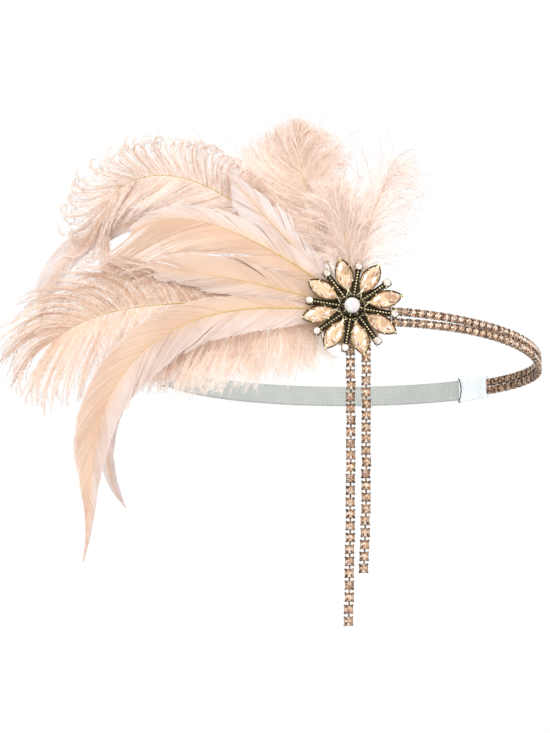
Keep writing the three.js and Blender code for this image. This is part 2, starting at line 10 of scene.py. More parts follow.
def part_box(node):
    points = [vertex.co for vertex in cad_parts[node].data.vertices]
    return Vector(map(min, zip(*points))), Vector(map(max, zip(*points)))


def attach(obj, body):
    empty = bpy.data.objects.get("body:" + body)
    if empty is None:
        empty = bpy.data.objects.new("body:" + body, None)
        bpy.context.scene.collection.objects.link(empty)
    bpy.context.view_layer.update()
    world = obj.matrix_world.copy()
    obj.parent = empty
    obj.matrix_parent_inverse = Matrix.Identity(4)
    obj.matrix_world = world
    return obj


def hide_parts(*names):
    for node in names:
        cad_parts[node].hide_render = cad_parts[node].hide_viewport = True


bl_info = {
    "name": "Flapper Feather Headband",
    "version": (1, 0, 0),
    "blender": (4, 5, 0),
    "location": "View3D > Sidebar > Headband",
    "description": "Feathers, crystals, elastic and studio for the headband's frame",
    "category": "Object",
}

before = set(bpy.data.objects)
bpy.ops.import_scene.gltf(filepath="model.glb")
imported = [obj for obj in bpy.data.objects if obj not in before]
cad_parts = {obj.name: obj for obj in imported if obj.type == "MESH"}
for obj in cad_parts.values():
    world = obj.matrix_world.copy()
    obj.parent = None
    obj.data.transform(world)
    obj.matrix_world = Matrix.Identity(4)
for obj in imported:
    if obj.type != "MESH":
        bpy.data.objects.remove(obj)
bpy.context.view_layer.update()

MM = 0.001
GAP = 0.3 * MM

# Head loop, and the arcs of what is on it, from its front centre
LOOP_HALF_WIDTH = 93 * MM
LOOP_FRONT_DEPTH = 86 * MM
LOOP_BACK_DEPTH = 54 * MM
RIGHT_TAB_ARC = 191.5 * MM
LEFT_TAB_ARC = 146 * MM
TAB_LENGTH = 15 * MM
ELASTIC_TUCK = 5 * MM
ROW_BACK = 0.9 * MM
ROW_HEIGHT = 3.8 * MM
ROW_SPLIT_AT_BROOCH = 1.5 * MM
ROW_SPLIT_ARC = 60 * MM

# Brooch
PETALS = 8
FIRST_PETAL_ANGLE = 13
PETAL_CENTRE_RADIUS = 15.6 * MM
NAVETTE_LENGTH = 15 * MM
NAVETTE_WIDTH = 7 * MM
NAVETTE_SEAT = 1.1 * MM
SETTING_WALL = 0.5 * MM
SETTING_HEIGHT = 2.9 * MM
ROUND_STONE_RADIUS_AT = 19.7 * MM
PEARL_RADIUS = 3.6 * MM
PEARL_HEIGHT = 4.9 * MM
POST_RADIUS = 2.4 * MM

# Fan of feathers
PAD_RADIUS = 16 * MM
LAYER_PITCH = 0.8 * MM
FEATHER_STACK = GAP + 9 * LAYER_PITCH
FAN_REACH = 150 * MM
FAN_SPREAD = 2.5
FAN_SWEEP_BACK = 12 * MM
FAN_LIFT = 0.29
QUILL_STEPS = 360

# The brooch's plane, and its frame: X to the right, Y up and Z out towards the viewer
BROOCH_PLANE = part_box("feather_pad")[0][1] - FEATHER_STACK
FACE = Matrix.Translation((0, BROOCH_PLANE, 0)) @ Matrix.Rotation(math.pi / 2, 4, "X")

# Closed vanes: name, layer, length, headings and bare, as in the frame, then for the left and the right
# side the half width, how late it is at its widest, how thin it ends and its tone from peach at 0
# to blush at 1, and how far the locks part
GOOSE = [
    ("goose_drooping", 0, 202, (182, 199, 253, 259), 0.04, (15, 0.5, 1.0, 0.65), (15, 0.8, 1.6, 0.1), 0.35),
    ("goose_middle", 1, 90, (163, 165, 170, 182), 0.06, (10, 0.8, 0.75, 0.4), (13, 0.8, 0.75, 0.1), 0.7),
    ("goose_long", 3, 114, (132, 148, 163, 219), 0.05, (24, 1.15, 0.75, 0.1), (10, 0.8, 0.75, 0.6), 0.7),
    ("goose_upper", 4, 86, (128, 132, 130, 131), 0.05, (13, 0.6, 1.3, 0.95), (9, 0.7, 1.0, 0.9), 1.2),
    ("goose_short", 5, 74, (158, 166, 172, 176), 0.06, (10, 0.8, 0.75, 0.7), (13, 0.8, 0.75, 0.3), 0.8),
    ("goose_sickle", 7, 181, (145, 153, 201, 265), 0.3, (6, 1.2, 0.9, 0.95), (10, 1.2, 0.9, 0.95), 0.4),
    ("goose_hooked", 8, 172, (193, 192, 240, 304), 0.1, (7, 0.8, 0.75, 1.0), (7, 0.8, 0.75, 1.0), 0.3),
]

# Plumes: name, layer, length, headings and bare, as in the frame or close to it
PLUMES = [
    ("marabou_upper", 0, 50, (96, 94, 98, 104), 0.2),
    ("plume_left", 2, 138, (168, 180, 187, 223), 0.36),
    ("plume_right", 2, 68, (79, 79, 72, 50), 0.2),
    ("marabou_lower", 3, 98, (196, 190, 190, 198), 0.12),
    ("plume_upper", 6, 150, (125, 138, 164, 274), 0.4),
    ("plume_top", 8, 92, (118, 108, 102, 89), 0.25),
]

# How each plume is filled: the barbs of a side, how many locks they gather in and how strongly, the
# longest barbule and its distance from the next in millimetres, the loose hairs, how far the barbs
# stand out in millimetres, the scatter of their angles, the way from peach to white, and how far
# they may reach past the quill's end in millimetres
Fill = namedtuple("Fill", "barbs locks pull barbule pitch hairs loft scatter tint past")
FILLS = {
    "marabou_upper": Fill(70, 40, 0.1, 4.6, 1.2, 20, 7, 12, 0.6, 20),
    "plume_left": Fill(140, 46, 0.86, 2.4, 1.0, 50, 5, 1.8, 0.1, 32),
    "plume_right": Fill(60, 30, 0.3, 2.4, 1.3, 110, 9, 9, 1.0, 14),
    "marabou_lower": Fill(140, 40, 0.1, 4.0, 1.1, 60, 8, 8, 0.25, 60),
    "plume_upper": Fill(140, 34, 0.84, 2.2, 1.0, 50, 5, 1.8, 0.5, 60),
    "plume_top": Fill(140, 40, 0.25, 3.8, 1.1, 70, 9, 6, 0.45, 6),
}

# The barbs of the left and the right side: their reach in millimetres, the angle at which they leave
# the quill halfway and at its root, their bend, the shares of the reach at the root and the tip, how far
# the ends hook over, how far they hang, the barbs beneath, and how light the barbs are
Side = namedtuple("Side", "reach leaving lean bend root tip hook fall under light")
SIDES = {
    "marabou_upper": (
        Side(28, 32, 32, -8, 0.6, 0.4, 20, 0, 90, 0.5),
        Side(26, 30, 30, 8, 0.6, 0.4, -20, 0, 90, 0.5)),
    "plume_left": (
        Side(44, 62, 58, 8, 1.0, 1.25, 20, 0.3, 60, 0.8),
        Side(42, 84, 44, 76, 1.6, 1.1, 12, 0.0, 150, 0.45)),
    "plume_right": (
        Side(38, 34, 30, -36, 0.5, 0.5, -80, 0.5, 40, 0.6),
        Side(27, 30, 34, -14, 0.5, 0.5, -150, 0.6, 30, 0.6)),
    "marabou_lower": (
        Side(30, 80, 80, -20, 0.85, 0.45, 10, 0.1, 230, 0.6),
        Side(8, 60, 60, 0, 2.0, 1.4, 20, 0, 160, 0.8)),
    "plume_upper": (
        Side(34, 54, 54, -8, 0.6, 1.2, 20, 0.45, 80, 0.6),
        Side(28, 60, 50, 4, 0.9, 1.4, -270, 0.36, 90, 0.35)),
    "plume_top": (
        Side(54, 58, 70, -40, 1.1, 0.35, -30, 0, 210, 0.58),
        Side(33, 42, 28, 16, 0.8, 0.4, -160, 0.3, 170, 0.58)),
}

# Hanging strands: name, stones and the route's points in the brooch's frame, X and Y, in millimetres
STRANDS = [
    ("strand_long", 25, ((-0.7, -14.4), (-0.9, -60), (-1.4, -100), (-2.5, -149))),
    ("strand_short", 20, ((6.5, -17.6), (6.1, -60), (5.8, -90), (4.4, -124))),
]


# Settings that a user would change

def colour_property(name, description, default):
    return bpy.props.FloatVectorProperty(
        name=name, description=description, subtype="COLOR", size=4, min=0, max=1, default=default)


def length_property(name, description, default):
    return bpy.props.FloatProperty(
        name=name, description=description, default=default, min=0, unit="LENGTH", subtype="DISTANCE")


class FeatherSettings(bpy.types.PropertyGroup):
    barb_width: length_property("Barb width", "Width of a plume's barb at its root", 0.34 * MM)
    fluff_width: length_property("Fluff width", "Width of a barbule at its root", 0.17 * MM)
    vane_pitch: length_property("Vane pitch", "Distance between the barbs of a goose vane", 0.3 * MM)
    peach: colour_property("Peach", "Warm colour of the goose vanes", (0.87, 0.68, 0.54, 1))
    blush: colour_property("Blush", "Pale colour of the goose vanes", (0.94, 0.885, 0.88, 1))
    warm: colour_property("Warm plume", "Warm colour of the plumes", (0.935, 0.79, 0.67, 1))
    white: colour_property("Pale plume", "Pale colour of the plumes", (0.995, 0.945, 0.92, 1))
    tip: colour_property("Tips", "Greyed colour of the curled tips", (0.60, 0.50, 0.48, 1))
    quill: colour_property("Quill", "Colour of the shafts", (0.74, 0.50, 0.20, 1))


class ChainSettings(bpy.types.PropertyGroup):
    row_pitch: length_property("Row pitch", "Distance between stones round the loop", 4.15 * MM)
    strand_pitch: length_property("Strand pitch", "Distance between stones of a strand", 5.45 * MM)
    stone_radius: length_property("Stone radius", "Radius of a stone at its girdle", 1.75 * MM)
    metal: colour_property("Metal", "Rose gold of the cups", (0.66, 0.45, 0.31, 1))
    stone: colour_property("Stone", "Champagne of the stones", (0.84, 0.60, 0.40, 1))


class BroochSettings(bpy.types.PropertyGroup):
    patina: colour_property("Patina", "Dark hollows of the brass", (0.016, 0.011, 0.006, 1))
    brass: colour_property("Brass", "Worn edges of the brass", (0.9, 0.77, 0.5, 1))
    petal: colour_property("Petal stones", "Champagne of the petal stones", (0.92, 0.66, 0.42, 1))
    pearl: colour_property("Pearl", "Body colour of the pearl", (0.86, 0.83, 0.80, 1))
    milgrain: bpy.props.IntProperty(name="Beads", description="Beads along each arm", default=9, min=3, max=15)


class BandSettings(bpy.types.PropertyGroup):
    elastic: colour_property("Elastic", "Colour of the elastic", (0.60, 0.64, 0.615, 1))
    tab: colour_property("Tab", "Colour of the end tabs", (0.87, 0.945, 0.965, 1))
    elastic_height: length_property("Height", "Height of the elastic", 9.8 * MM)
    elastic_thickness: length_property("Thickness", "Thickness of the elastic", 1.2 * MM)


class StudioSettings(bpy.types.PropertyGroup):
    floor_height: bpy.props.FloatProperty(
        name="Floor", description="Height of the floor", default=-0.55, unit="LENGTH", subtype="DISTANCE")
    key_power: bpy.props.FloatProperty(name="Key light", description="Power of the key light", default=9)
    fill_power: bpy.props.FloatProperty(name="Fill light", description="Power of the fill light", default=5)
    sky: bpy.props.FloatProperty(name="Surround", description="Brightness of the surround", default=0.92)


# Materials

def node_material(name):
    """A new material, with its tree and its shader."""
    material = bpy.data.materials.new(name)
    material.use_nodes = True
    tree = material.node_tree
    return material, tree, tree.nodes["Principled BSDF"]


def give(tree, value, target):
    """Links a socket to the target, or sets a plain value on it."""
    if isinstance(value, bpy.types.NodeSocket):
        tree.links.new(value, target)
    else:
        target.default_value = value


def node(tree, kind, **values):
    """A new node, with each value set on the socket or the property of that name."""
    made = tree.nodes.new(kind)
    for key, value in values.items():
        if key in made.inputs:
            give(tree, value, made.inputs[key])
        else:
            setattr(made, key, value)
    return made


def ramp(tree, factor, stops):
    made = tree.nodes.new("ShaderNodeValToRGB")
    elements = made.color_ramp.elements
    while len(elements) < len(stops):
        elements.new(0.5)
    for element, (place, colour) in zip(elements, stops):
        element.position = place
        element.color = colour
    tree.links.new(factor, made.inputs["Fac"])
    return made.outputs["Color"]


def object_noise(tree, scale, detail=3.0):
    place = node(tree, "ShaderNodeTexCoord").outputs["Object"]
    return node(tree, "ShaderNodeTexNoise", Vector=place, Scale=scale, Detail=detail).outputs["Fac"]


def between(tree, value, low, high, first=0.0, last=1.0):
    """The value's way from low to high, held within first and last."""
    limits = {"Value": value, "From Min": low, "From Max": high, "To Min": first, "To Max": last}
    return node(tree, "ShaderNodeMapRange", **limits).outputs["Result"]


def mixed(tree, factor, first, second, blend="MIX"):
    made = tree.nodes.new("ShaderNodeMix")
    made.data_type = "RGBA"
    made.blend_type = blend
    for value, name in ((factor, "Factor_Float"), (first, "A_Color"), (second, "B_Color")):
        give(tree, value, next(s for s in made.inputs if s.identifier == name))
    return next(s for s in made.outputs if s.identifier == "Result_Color")


def bump(tree, shader, height, strength, distance):
    made = node(tree, "ShaderNodeBump", Height=height, Strength=strength, Distance=distance)
    tree.links.new(made.outputs["Normal"], shader.inputs["Normal"])


def darker(colour, share):
    return [c * share for c in colour[:3]] + [1]


def new_group(name, colours, values, results):
    """An empty node group with named inputs and outputs, and the sockets of its two ends."""
    group = bpy.data.node_groups.new(name, "ShaderNodeTree")
    for title in colours:
        group.interface.new_socket(name=title, in_out="INPUT", socket_type="NodeSocketColor")
    for title in values:
        group.interface.new_socket(name=title, in_out="INPUT", socket_type="NodeSocketFloat")
    for title in results:
        kind = "NodeSocketColor" if title == "Colour" else "NodeSocketFloat"
        group.interface.new_socket(name=title, in_out="OUTPUT", socket_type=kind)
    return group, group.nodes.new("NodeGroupInput").outputs, group.nodes.new("NodeGroupOutput").inputs


def placed(tree, build, **values):
    """The outputs of a group, built once and placed in a material with its own values."""
    name = build.__name__.replace("_", " ").capitalize()
    group = bpy.data.node_groups.get(name) or build(name)
    return node(tree, "ShaderNodeGroup", node_tree=group, **values).outputs


def barb_colour(name):
    """The colour of a barb from its root to its tip, with a tone of its own and soft patches."""
    group, start, end = new_group(name, ("Root", "Middle", "Tip"), (), ("Colour",))
    along = node(group, "ShaderNodeAttribute", attribute_name="along").outputs["Fac"]
    tone = node(group, "ShaderNodeAttribute", attribute_name="tone").outputs["Fac"]
    body = mixed(group, between(group, along, 0.0, 0.45), start["Root"], start["Middle"])
    whole = mixed(group, between(group, along, 0.8, 1.0), body, start["Tip"])
    light = ramp(group, tone, [(0.0, (0.74, 0.58, 0.46, 1)), (0.5, (1, 1, 1, 1)), (1.0, (1.07, 1.06, 1.05, 1))])
    toned = mixed(group, 1.0, whole, light, "MULTIPLY")
    patch = ramp(group, object_noise(group, 55, 2.0), [(0.35, (0.96, 0.91, 0.88, 1)), (0.65, (1.03, 1.02, 1.01, 1))])
    group.links.new(mixed(group, 0.8, toned, patch, "MULTIPLY"), end["Colour"])
    return group


def mottled_colour(name):
    """Two tones in soft patches."""
    group, start, end = new_group(name, ("Dark", "Bright"), ("Low", "High", "Scale", "Detail"), ("Colour", "Mottle"))
    mottle = object_noise(group, start["Scale"], start["Detail"])
    share = between(group, mottle, start["Low"], start["High"])
    group.links.new(mixed(group, share, start["Dark"], start["Bright"]), end["Colour"])
    group.links.new(mottle, end["Mottle"])
    return group


def worn_metal(name):
    """A dark and a bright tone in fine patches, smoother where it is bright, and small dents."""
    values = ("Low", "High", "Scale", "Rough", "Smooth")
    group, start, end = new_group(name, ("Dark", "Bright"), values, ("Colour", "Roughness", "Dents"))
    wear = object_noise(group, start["Scale"], 4.0)
    share = between(group, wear, start["Low"], start["High"])
    group.links.new(mixed(group, share, start["Dark"], start["Bright"]), end["Colour"])
    group.links.new(between(group, wear, 0.0, 1.0, start["Rough"], start["Smooth"]), end["Roughness"])
    finer = node(group, "ShaderNodeMath", operation="MULTIPLY")
    group.links.new(start["Scale"], finer.inputs[0])
    finer.inputs[1].default_value = 2.5
    group.links.new(object_noise(group, finer.outputs["Value"], 2.0), end["Dents"])
    return group


def foiled_stone(name):
    """A tone for each facet, from a painted dark reflection through the body colour to a near-white painted glint, over
    a foil mottled with painted shadow, with a blush across the stone.
    """
    group, start, end = new_group(name, ("Deep", "Body", "Pale", "Shadow"), ("Turn", "Scale"), ("Colour", "Depth"))
    facet = node(group, "ShaderNodeAttribute", attribute_name="facet").outputs["Fac"]
    place = node(group, "ShaderNodeTexCoord").outputs["Object"]
    cell = node(group, "ShaderNodeTexVoronoi", Vector=place, Scale=start["Scale"]).outputs
    tone = mixed(group, between(group, facet, 0.0, start["Turn"]), start["Deep"], start["Body"])
    tone = mixed(group, between(group, facet, 0.65, 0.82), tone, start["Pale"])
    foil = mixed(group, between(group, cell["Color"], 0.12, 0.45), start["Shadow"], (1, 1, 1, 1))
    base = mixed(group, 0.85, tone, foil, "MULTIPLY")
    blush = ramp(group, object_noise(group, 260, 1.0), [(0.4, (1.0, 0.88, 0.86, 1)), (0.6, (1.0, 0.98, 0.86, 1))])
    group.links.new(mixed(group, 0.7, base, blush, "MULTIPLY"), end["Colour"])
    group.links.new(cell["Distance"], end["Depth"])
    return group


def woven_tape(name):
    """Ribs along a narrow tape and fine yarns across it, on the tape's own UV map in metres."""
    group, start, end = new_group(name, ("Shade", "Yarn"), ("Ribs", "Yarns", "Share"), ("Colour", "Height"))
    place = node(group, "ShaderNodeUVMap", uv_map="tape").outputs["UV"]
    ribs = node(group, "ShaderNodeTexWave", Vector=place, Scale=start["Ribs"], Distortion=0.6, Detail=2.0)
    yarns = node(group, "ShaderNodeTexWave", Vector=place, Scale=start["Yarns"], Distortion=1.2, Detail=2.0)
    ribs.bands_direction, yarns.bands_direction = "X", "Y"
    height = mixed(group, start["Share"], yarns.outputs["Color"], ribs.outputs["Color"])
    yarn = mixed(group, between(group, height, 0.1, 0.8), start["Shade"], start["Yarn"])
    stain = ramp(group, object_noise(group, 130), [(0.35, (0.92, 0.93, 0.93, 1)), (0.65, (1.03, 1.03, 1.02, 1))])
    group.links.new(mixed(group, 0.7, yarn, stain, "MULTIPLY"), end["Colour"])
    group.links.new(height, end["Height"])
    return group


def barb_material(name, root, middle, tip, sheen, roughness, glow):
    """Barbs that scatter light and let some of it through."""
    material, tree, shader = node_material(name)
    colour = placed(tree, barb_colour, Root=root, Middle=middle, Tip=tip)["Colour"]
    shader.inputs["Roughness"].default_value = roughness
    shader.inputs["Sheen Weight"].default_value = sheen
    shader.inputs["Sheen Roughness"].default_value = 0.4
    shader.inputs["Specular IOR Level"].default_value = 0.3
    through = node(tree, "ShaderNodeBsdfTranslucent", Color=colour)
    blend = node(tree, "ShaderNodeMixShader", Fac=glow)
    tree.links.new(colour, shader.inputs["Base Color"])
    tree.links.new(shader.outputs["BSDF"], blend.inputs[1])
    tree.links.new(through.outputs["BSDF"], blend.inputs[2])
    tree.links.new(blend.outputs["Shader"], tree.nodes["Material Output"].inputs["Surface"])
    return material


def quill_material(colour):
    material, tree, shader = node_material("Feather quill")
    streak = placed(tree, mottled_colour, Dark=darker(colour, 0.72), Bright=colour, Low=0.3, High=0.7, Scale=900, Detail=2)
    tree.links.new(streak["Colour"], shader.inputs["Base Color"])
    shader.inputs["Roughness"].default_value = 0.35
    shader.inputs["Coat Weight"].default_value = 0.3
    shader.inputs["Subsurface Weight"].default_value = 0.1
    shader.inputs["Subsurface Scale"].default_value = 0.001
    return material


def metal_material(name, dark, bright, roughness, scale, low=0.3, high=0.55):
    """Cast or pressed metal, worn bright on its high patches."""
    material, tree, shader = node_material(name)
    wear = placed(
        tree, worn_metal, Dark=dark, Bright=bright, Low=low, High=high, Scale=scale,
        Rough=roughness * 1.4, Smooth=roughness * 0.7)
    tree.links.new(wear["Colour"], shader.inputs["Base Color"])
    tree.links.new(wear["Roughness"], shader.inputs["Roughness"])
    shader.inputs["Metallic"].default_value = 1.0
    bump(tree, shader, wear["Dents"], 0.25, 0.00012)
    return material


def gem_material(name, colour, foil_scale, contrast=0.5):
    """A foiled stone under a polished surface, with painted reflections on its facets; contrast sets how dark the
    painted dark facets are.
    """
    material, tree, shader = node_material(name)
    # Painted reflections: dark facets stand for dark reflections, near-white facets for glints, and the darker foil
    # colour for painted shadow
    dark_reflection = [c * (1 - contrast) ** (1 + 0.6 * i) for i, c in enumerate(colour[:3])] + [1]
    pale = [c * 0.35 + 0.65 for c in colour[:3]] + [1]
    shadow = [0.75 - 0.5 * contrast * k for k in (0.6, 1.0, 1.3)] + [1]
    middle = 0.5 if contrast > 0.6 else 0.35
    cut = placed(tree, foiled_stone, Deep=dark_reflection, Body=colour, Pale=pale, Shadow=shadow, Turn=middle, Scale=foil_scale)
    tree.links.new(cut["Colour"], shader.inputs["Base Color"])
    shader.inputs["Metallic"].default_value = 0.4
    shader.inputs["Roughness"].default_value = 0.14
    shader.inputs["Coat Weight"].default_value = 1.0
    shader.inputs["Coat Roughness"].default_value = 0.02
    shader.inputs["Coat IOR"].default_value = 1.7
    bump(tree, shader, cut["Depth"], 0.3, 0.0004)
    return material


def pearl_material(colour):
    material, tree, shader = node_material("Pearl")
    cloud = placed(tree, mottled_colour, Dark=(0.70, 0.66, 0.66, 1), Bright=colour, Low=0.35, High=0.6, Scale=420, Detail=3)
    tree.links.new(cloud["Colour"], shader.inputs["Base Color"])
    shader.inputs["Roughness"].default_value = 0.22
    shader.inputs["Coat Weight"].default_value = 0.8
    shader.inputs["Coat Roughness"].default_value = 0.05
    shader.inputs["Sheen Weight"].default_value = 0.3
    shader.inputs["Subsurface Weight"].default_value = 0.2
    shader.inputs["Subsurface Scale"].default_value = 0.002
    bump(tree, shader, cloud["Mottle"], 0.06, 0.0003)
    return material


def woven_material(name, colour, rib_length, rib_height, rib_share, shade=0.8, relief=0.6):
    """Ribbed elastic or plain tape; a wave of scale s repeats every 0.314 / s metres."""
    material, tree, shader = node_material(name)
    weave = placed(
        tree, woven_tape, Shade=darker(colour, shade), Yarn=colour,
        Ribs=0.314 / rib_length, Yarns=0.314 / rib_height, Share=rib_share)
    tree.links.new(weave["Colour"], shader.inputs["Base Color"])
    shader.inputs["Roughness"].default_value = 0.85
    shader.inputs["Sheen Weight"].default_value = 0.25
    bump(tree, shader, weave["Height"], relief, 0.00025)
    return material


def felt_material(colour):
    material, tree, shader = node_material("Peach felt")
    fibres = placed(tree, mottled_colour, Dark=darker(colour, 0.8), Bright=colour, Low=0.3, High=0.7, Scale=2600, Detail=5)
    tree.links.new(fibres["Colour"], shader.inputs["Base Color"])
    shader.inputs["Roughness"].default_value = 0.95
    shader.inputs["Sheen Weight"].default_value = 0.5
    bump(tree, shader, fibres["Mottle"], 0.7, 0.0003)
    return material


def paint(name, colour, roughness):
    """A stage surface with faint unevenness."""
    material, tree, shader = node_material(name)
    coat = placed(tree, mottled_colour, Dark=darker(colour, 0.97), Bright=colour, Low=0.3, High=0.7, Scale=3, Detail=2)
    tree.links.new(coat["Colour"], shader.inputs["Base Color"])
    shader.inputs["Roughness"].default_value = roughness
    return material


# Shapes

def finish_piece(name, bm, materials, *nodes, smooth=True):
    """Makes an object of the bmesh, riding on the frame in place of the nodes."""
    mesh = bpy.data.meshes.new(name)
    bm.to_mesh(mesh)
    bm.free()
    for material in materials:
        mesh.materials.append(material)
    mesh.polygons.foreach_set("use_smooth", [smooth] * len(mesh.polygons))
    piece = bpy.data.objects.new(name, mesh)
    bpy.context.scene.collection.objects.link(piece)
    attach(piece, "root")
    if nodes:
        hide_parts(*nodes)
    return piece


def made_verts(made):
    return [item for item in made["geom"] if isinstance(item, bmesh.types.BMVert)]


def made_edges(made):
    return [item for item in made["geom"] if isinstance(item, bmesh.types.BMEdge)]


def new_slot(bm, before, slot):
    """Gives the faces made since before a material slot."""
    bm.faces.ensure_lookup_table()
    for face in bm.faces[before:]:
        face.material_index = slot


def joined(bm, part, matrix, slot=None):
    """Adds a copy of another bmesh, moved by the matrix."""
    mesh = bpy.data.meshes.new("part")
    part.to_mesh(mesh)
    mesh.transform(matrix)
    before = len(bm.faces)
    bm.from_mesh(mesh)
    bpy.data.meshes.remove(mesh)
    if slot is not None:
        new_slot(bm, before, slot)


def disc(radius, low, high, sides, bevel=0.0, top_radius=None):
    """A round block standing on Z, with softened rims."""
    part = bmesh.new()
    top = radius if top_radius is None else top_radius
    bmesh.ops.create_cone(
        part, cap_ends=True, segments=sides, radius1=radius, radius2=top, depth=high - low,
        matrix=Matrix.Translation((0, 0, (low + high) / 2)))
    if bevel:
        rims = [edge for edge in part.edges if len(edge.link_faces[0].verts) > 4 or len(edge.link_faces[1].verts) > 4]
        bmesh.ops.bevel(
            part, geom=rims, offset=bevel, offset_type="OFFSET", segments=2, profile=0.5,
            affect="EDGES", material=-1)
    return part


def block(size, centre, bevel):
    part = bmesh.new()
    place = Matrix.Translation(centre) @ Matrix.Diagonal((*size, 1))
    bmesh.ops.create_cube(part, size=1, matrix=place)
    bmesh.ops.bevel(
        part, geom=part.edges[:], offset=bevel, offset_type="OFFSET", segments=1, profile=0.5,
        affect="EDGES", material=-1)
    return part


def bead(radius, centre, sides=10, rings=6):
    part = bmesh.new()
    bmesh.ops.create_uvsphere(
        part, u_segments=sides, v_segments=rings, radius=radius, matrix=Matrix.Translation(centre))
    return part


def claw(foot, knee, tip, radius, sides=6):
    """A prong: a round rod from its foot over the knee to a blunt tip."""
    part = bmesh.new()
    points = [Vector(foot), Vector(knee), (Vector(knee) + Vector(tip)) / 2, Vector(tip)]
    widths = [1.0, 1.0, 0.95, 0.6]
    order = part.verts.layers.int.new("order")
    ring = bmesh.ops.create_circle(part, cap_ends=True, segments=sides, radius=radius)["verts"]
    edges = part.edges[:]
    aims = [points[1] - points[0], points[2] - points[0], points[3] - points[1], points[3] - points[2]]
    frames = [Matrix.Translation(p) @ aim.to_track_quat("Z", "Y").to_matrix().to_4x4() for p, aim in zip(points, aims)]
    flat = [v.co.copy() for v in ring]
    for i, v in enumerate(ring):
        v[order] = i
        v.co = frames[0] @ flat[i]
    for at, width in zip(frames[1:], widths[1:]):
        made = bmesh.ops.extrude_edge_only(part, edges=edges)
        edges = made_edges(made)
        for v in made_verts(made):
            v.co = at @ (flat[v[order]] * width)
    bmesh.ops.holes_fill(part, edges=edges)
    bmesh.ops.recalc_face_normals(part, faces=part.faces)
    return part


def turn(angle, radius=0.0):
    """The place at an angle in degrees and a radius round the brooch's axis, facing outwards."""
    return Matrix.Rotation(math.radians(angle), 4, "Z") @ Matrix.Translation((radius, 0, 0))


def petal_angle(i):
    return FIRST_PETAL_ANGLE + 360 / PETALS * i


def navette(part, half_length, half_width, height, points=28):
    """A boat-shaped face at a height, from a circle whose corners are drawn onto two arcs."""
    ring = bmesh.ops.create_circle(part, cap_ends=True, segments=points, radius=1)["verts"]
    radius = (half_length ** 2 + half_width ** 2) / (2 * half_width)
    for v in ring:
        x = half_length * (1 - 2 * math.acos(max(-1, min(1, v.co.x))) / math.pi)
        y = math.sqrt(max(0, radius ** 2 - x ** 2)) - (radius - half_width)
        side = 0 if abs(v.co.y) < 1e-6 else math.copysign(1, v.co.y)
        v.co = (x, side * max(0, y), height)
    return ring


# Head loop

def loop_table():
    angle = np.linspace(0, 2 * math.pi, 4001)
    depth = np.where(np.cos(angle) > 0, LOOP_FRONT_DEPTH, LOOP_BACK_DEPTH)
    places = np.stack([LOOP_HALF_WIDTH * np.sin(angle), -depth * np.cos(angle)], -1)
    arcs = np.concatenate([[0], np.cumsum(np.hypot(*np.diff(places, axis=0).T))])
    return arcs, places


LOOP_ARCS, LOOP_PLACES = loop_table()
LOOP_LENGTH = LOOP_ARCS[-1]


def loop_frame(arc):
    """A matrix on the loop at an arc from the front: X along it, Y up and Z out of it."""
    arc = arc % LOOP_LENGTH
    step = 0.0005
    ends = [[np.interp((arc + d) % LOOP_LENGTH, LOOP_ARCS, LOOP_PLACES[:, k]) for k in (0, 1)] for d in (-step, 0, step)]
    along = Vector((ends[2][0] - ends[0][0], ends[2][1] - ends[0][1], 0)).normalized()
    out = Vector((along.y, -along.x, 0))
    rows = Matrix((along, (0, 0, 1), out)).transposed().to_4x4()
    return Matrix.Translation((ends[1][0], ends[1][1], 0)) @ rows


def row_height(arc):
    near = max(0.0, 1 - abs(arc) / ROW_SPLIT_ARC)
    return ROW_HEIGHT / 2 + (GAP + (ROW_SPLIT_AT_BROOCH - GAP) * (1 - (1 - near) ** 2)) / 2


def band_strip(start, end, height, thickness, columns, rows):
    """A tape round the loop from a flat grid, with a UV map in metres, and its wall."""
    part = bmesh.new()
    bmesh.ops.create_grid(part, x_segments=columns, y_segments=rows, size=0.5)
    uv = part.loops.layers.uv.new("tape")
    for face in part.faces:
        for loop in face.loops:
            co = loop.vert.co
            loop[uv].uv = ((co.x + 0.5) * (end - start), (co.y + 0.5) * height)
    for v in part.verts:
        x, y = v.co.x + 0.5, v.co.y
        belly = 0.08 * MM * math.sin(x * 40) * math.cos(y * 3)
        v.co = loop_frame(start + (end - start) * x) @ Vector((0, y * height, -thickness / 2 + belly))
    bmesh.ops.recalc_face_normals(part, faces=part.faces)
    centre = Vector((0, 0, 0))
    sample = part.faces[:][0]
    if sample.normal.dot(sample.calc_center_median() - centre) > 0:
        bmesh.ops.reverse_faces(part, faces=part.faces)
    bmesh.ops.solidify(part, geom=part.faces[:], thickness=thickness)
    bmesh.ops.recalc_face_normals(part, faces=part.faces)
    return part


class HEADBAND_OT_elastic_band(bpy.types.Operator):
    """Makes the ribbed stretch elastic round the back of the loop"""
    bl_idname = "headband.elastic_band"
    bl_label = "Elastic Band"

    def execute(self, context):
        band = context.scene.headband_band
        start = RIGHT_TAB_ARC + TAB_LENGTH / 2 - ELASTIC_TUCK
        end = LOOP_LENGTH - LEFT_TAB_ARC - TAB_LENGTH / 2 + ELASTIC_TUCK
        part = band_strip(start, end, band.elastic_height, band.elastic_thickness, 260, 12)
        for v in part.verts:
            edge = abs(v.co.z) / (band.elastic_height / 2)
            out = Vector((v.co.x, v.co.y, 0)).normalized()
            v.co -= out * (0.25 * MM * max(0, edge - 0.82) / 0.18)
        material = woven_material("Ribbed elastic", tuple(band.elastic), 1.0 * MM, 0.7 * MM, 0.45, 0.7)
        piece = finish_piece("elastic_band_ribbed", part, [material], "elastic_band")
        return {"FINISHED"}


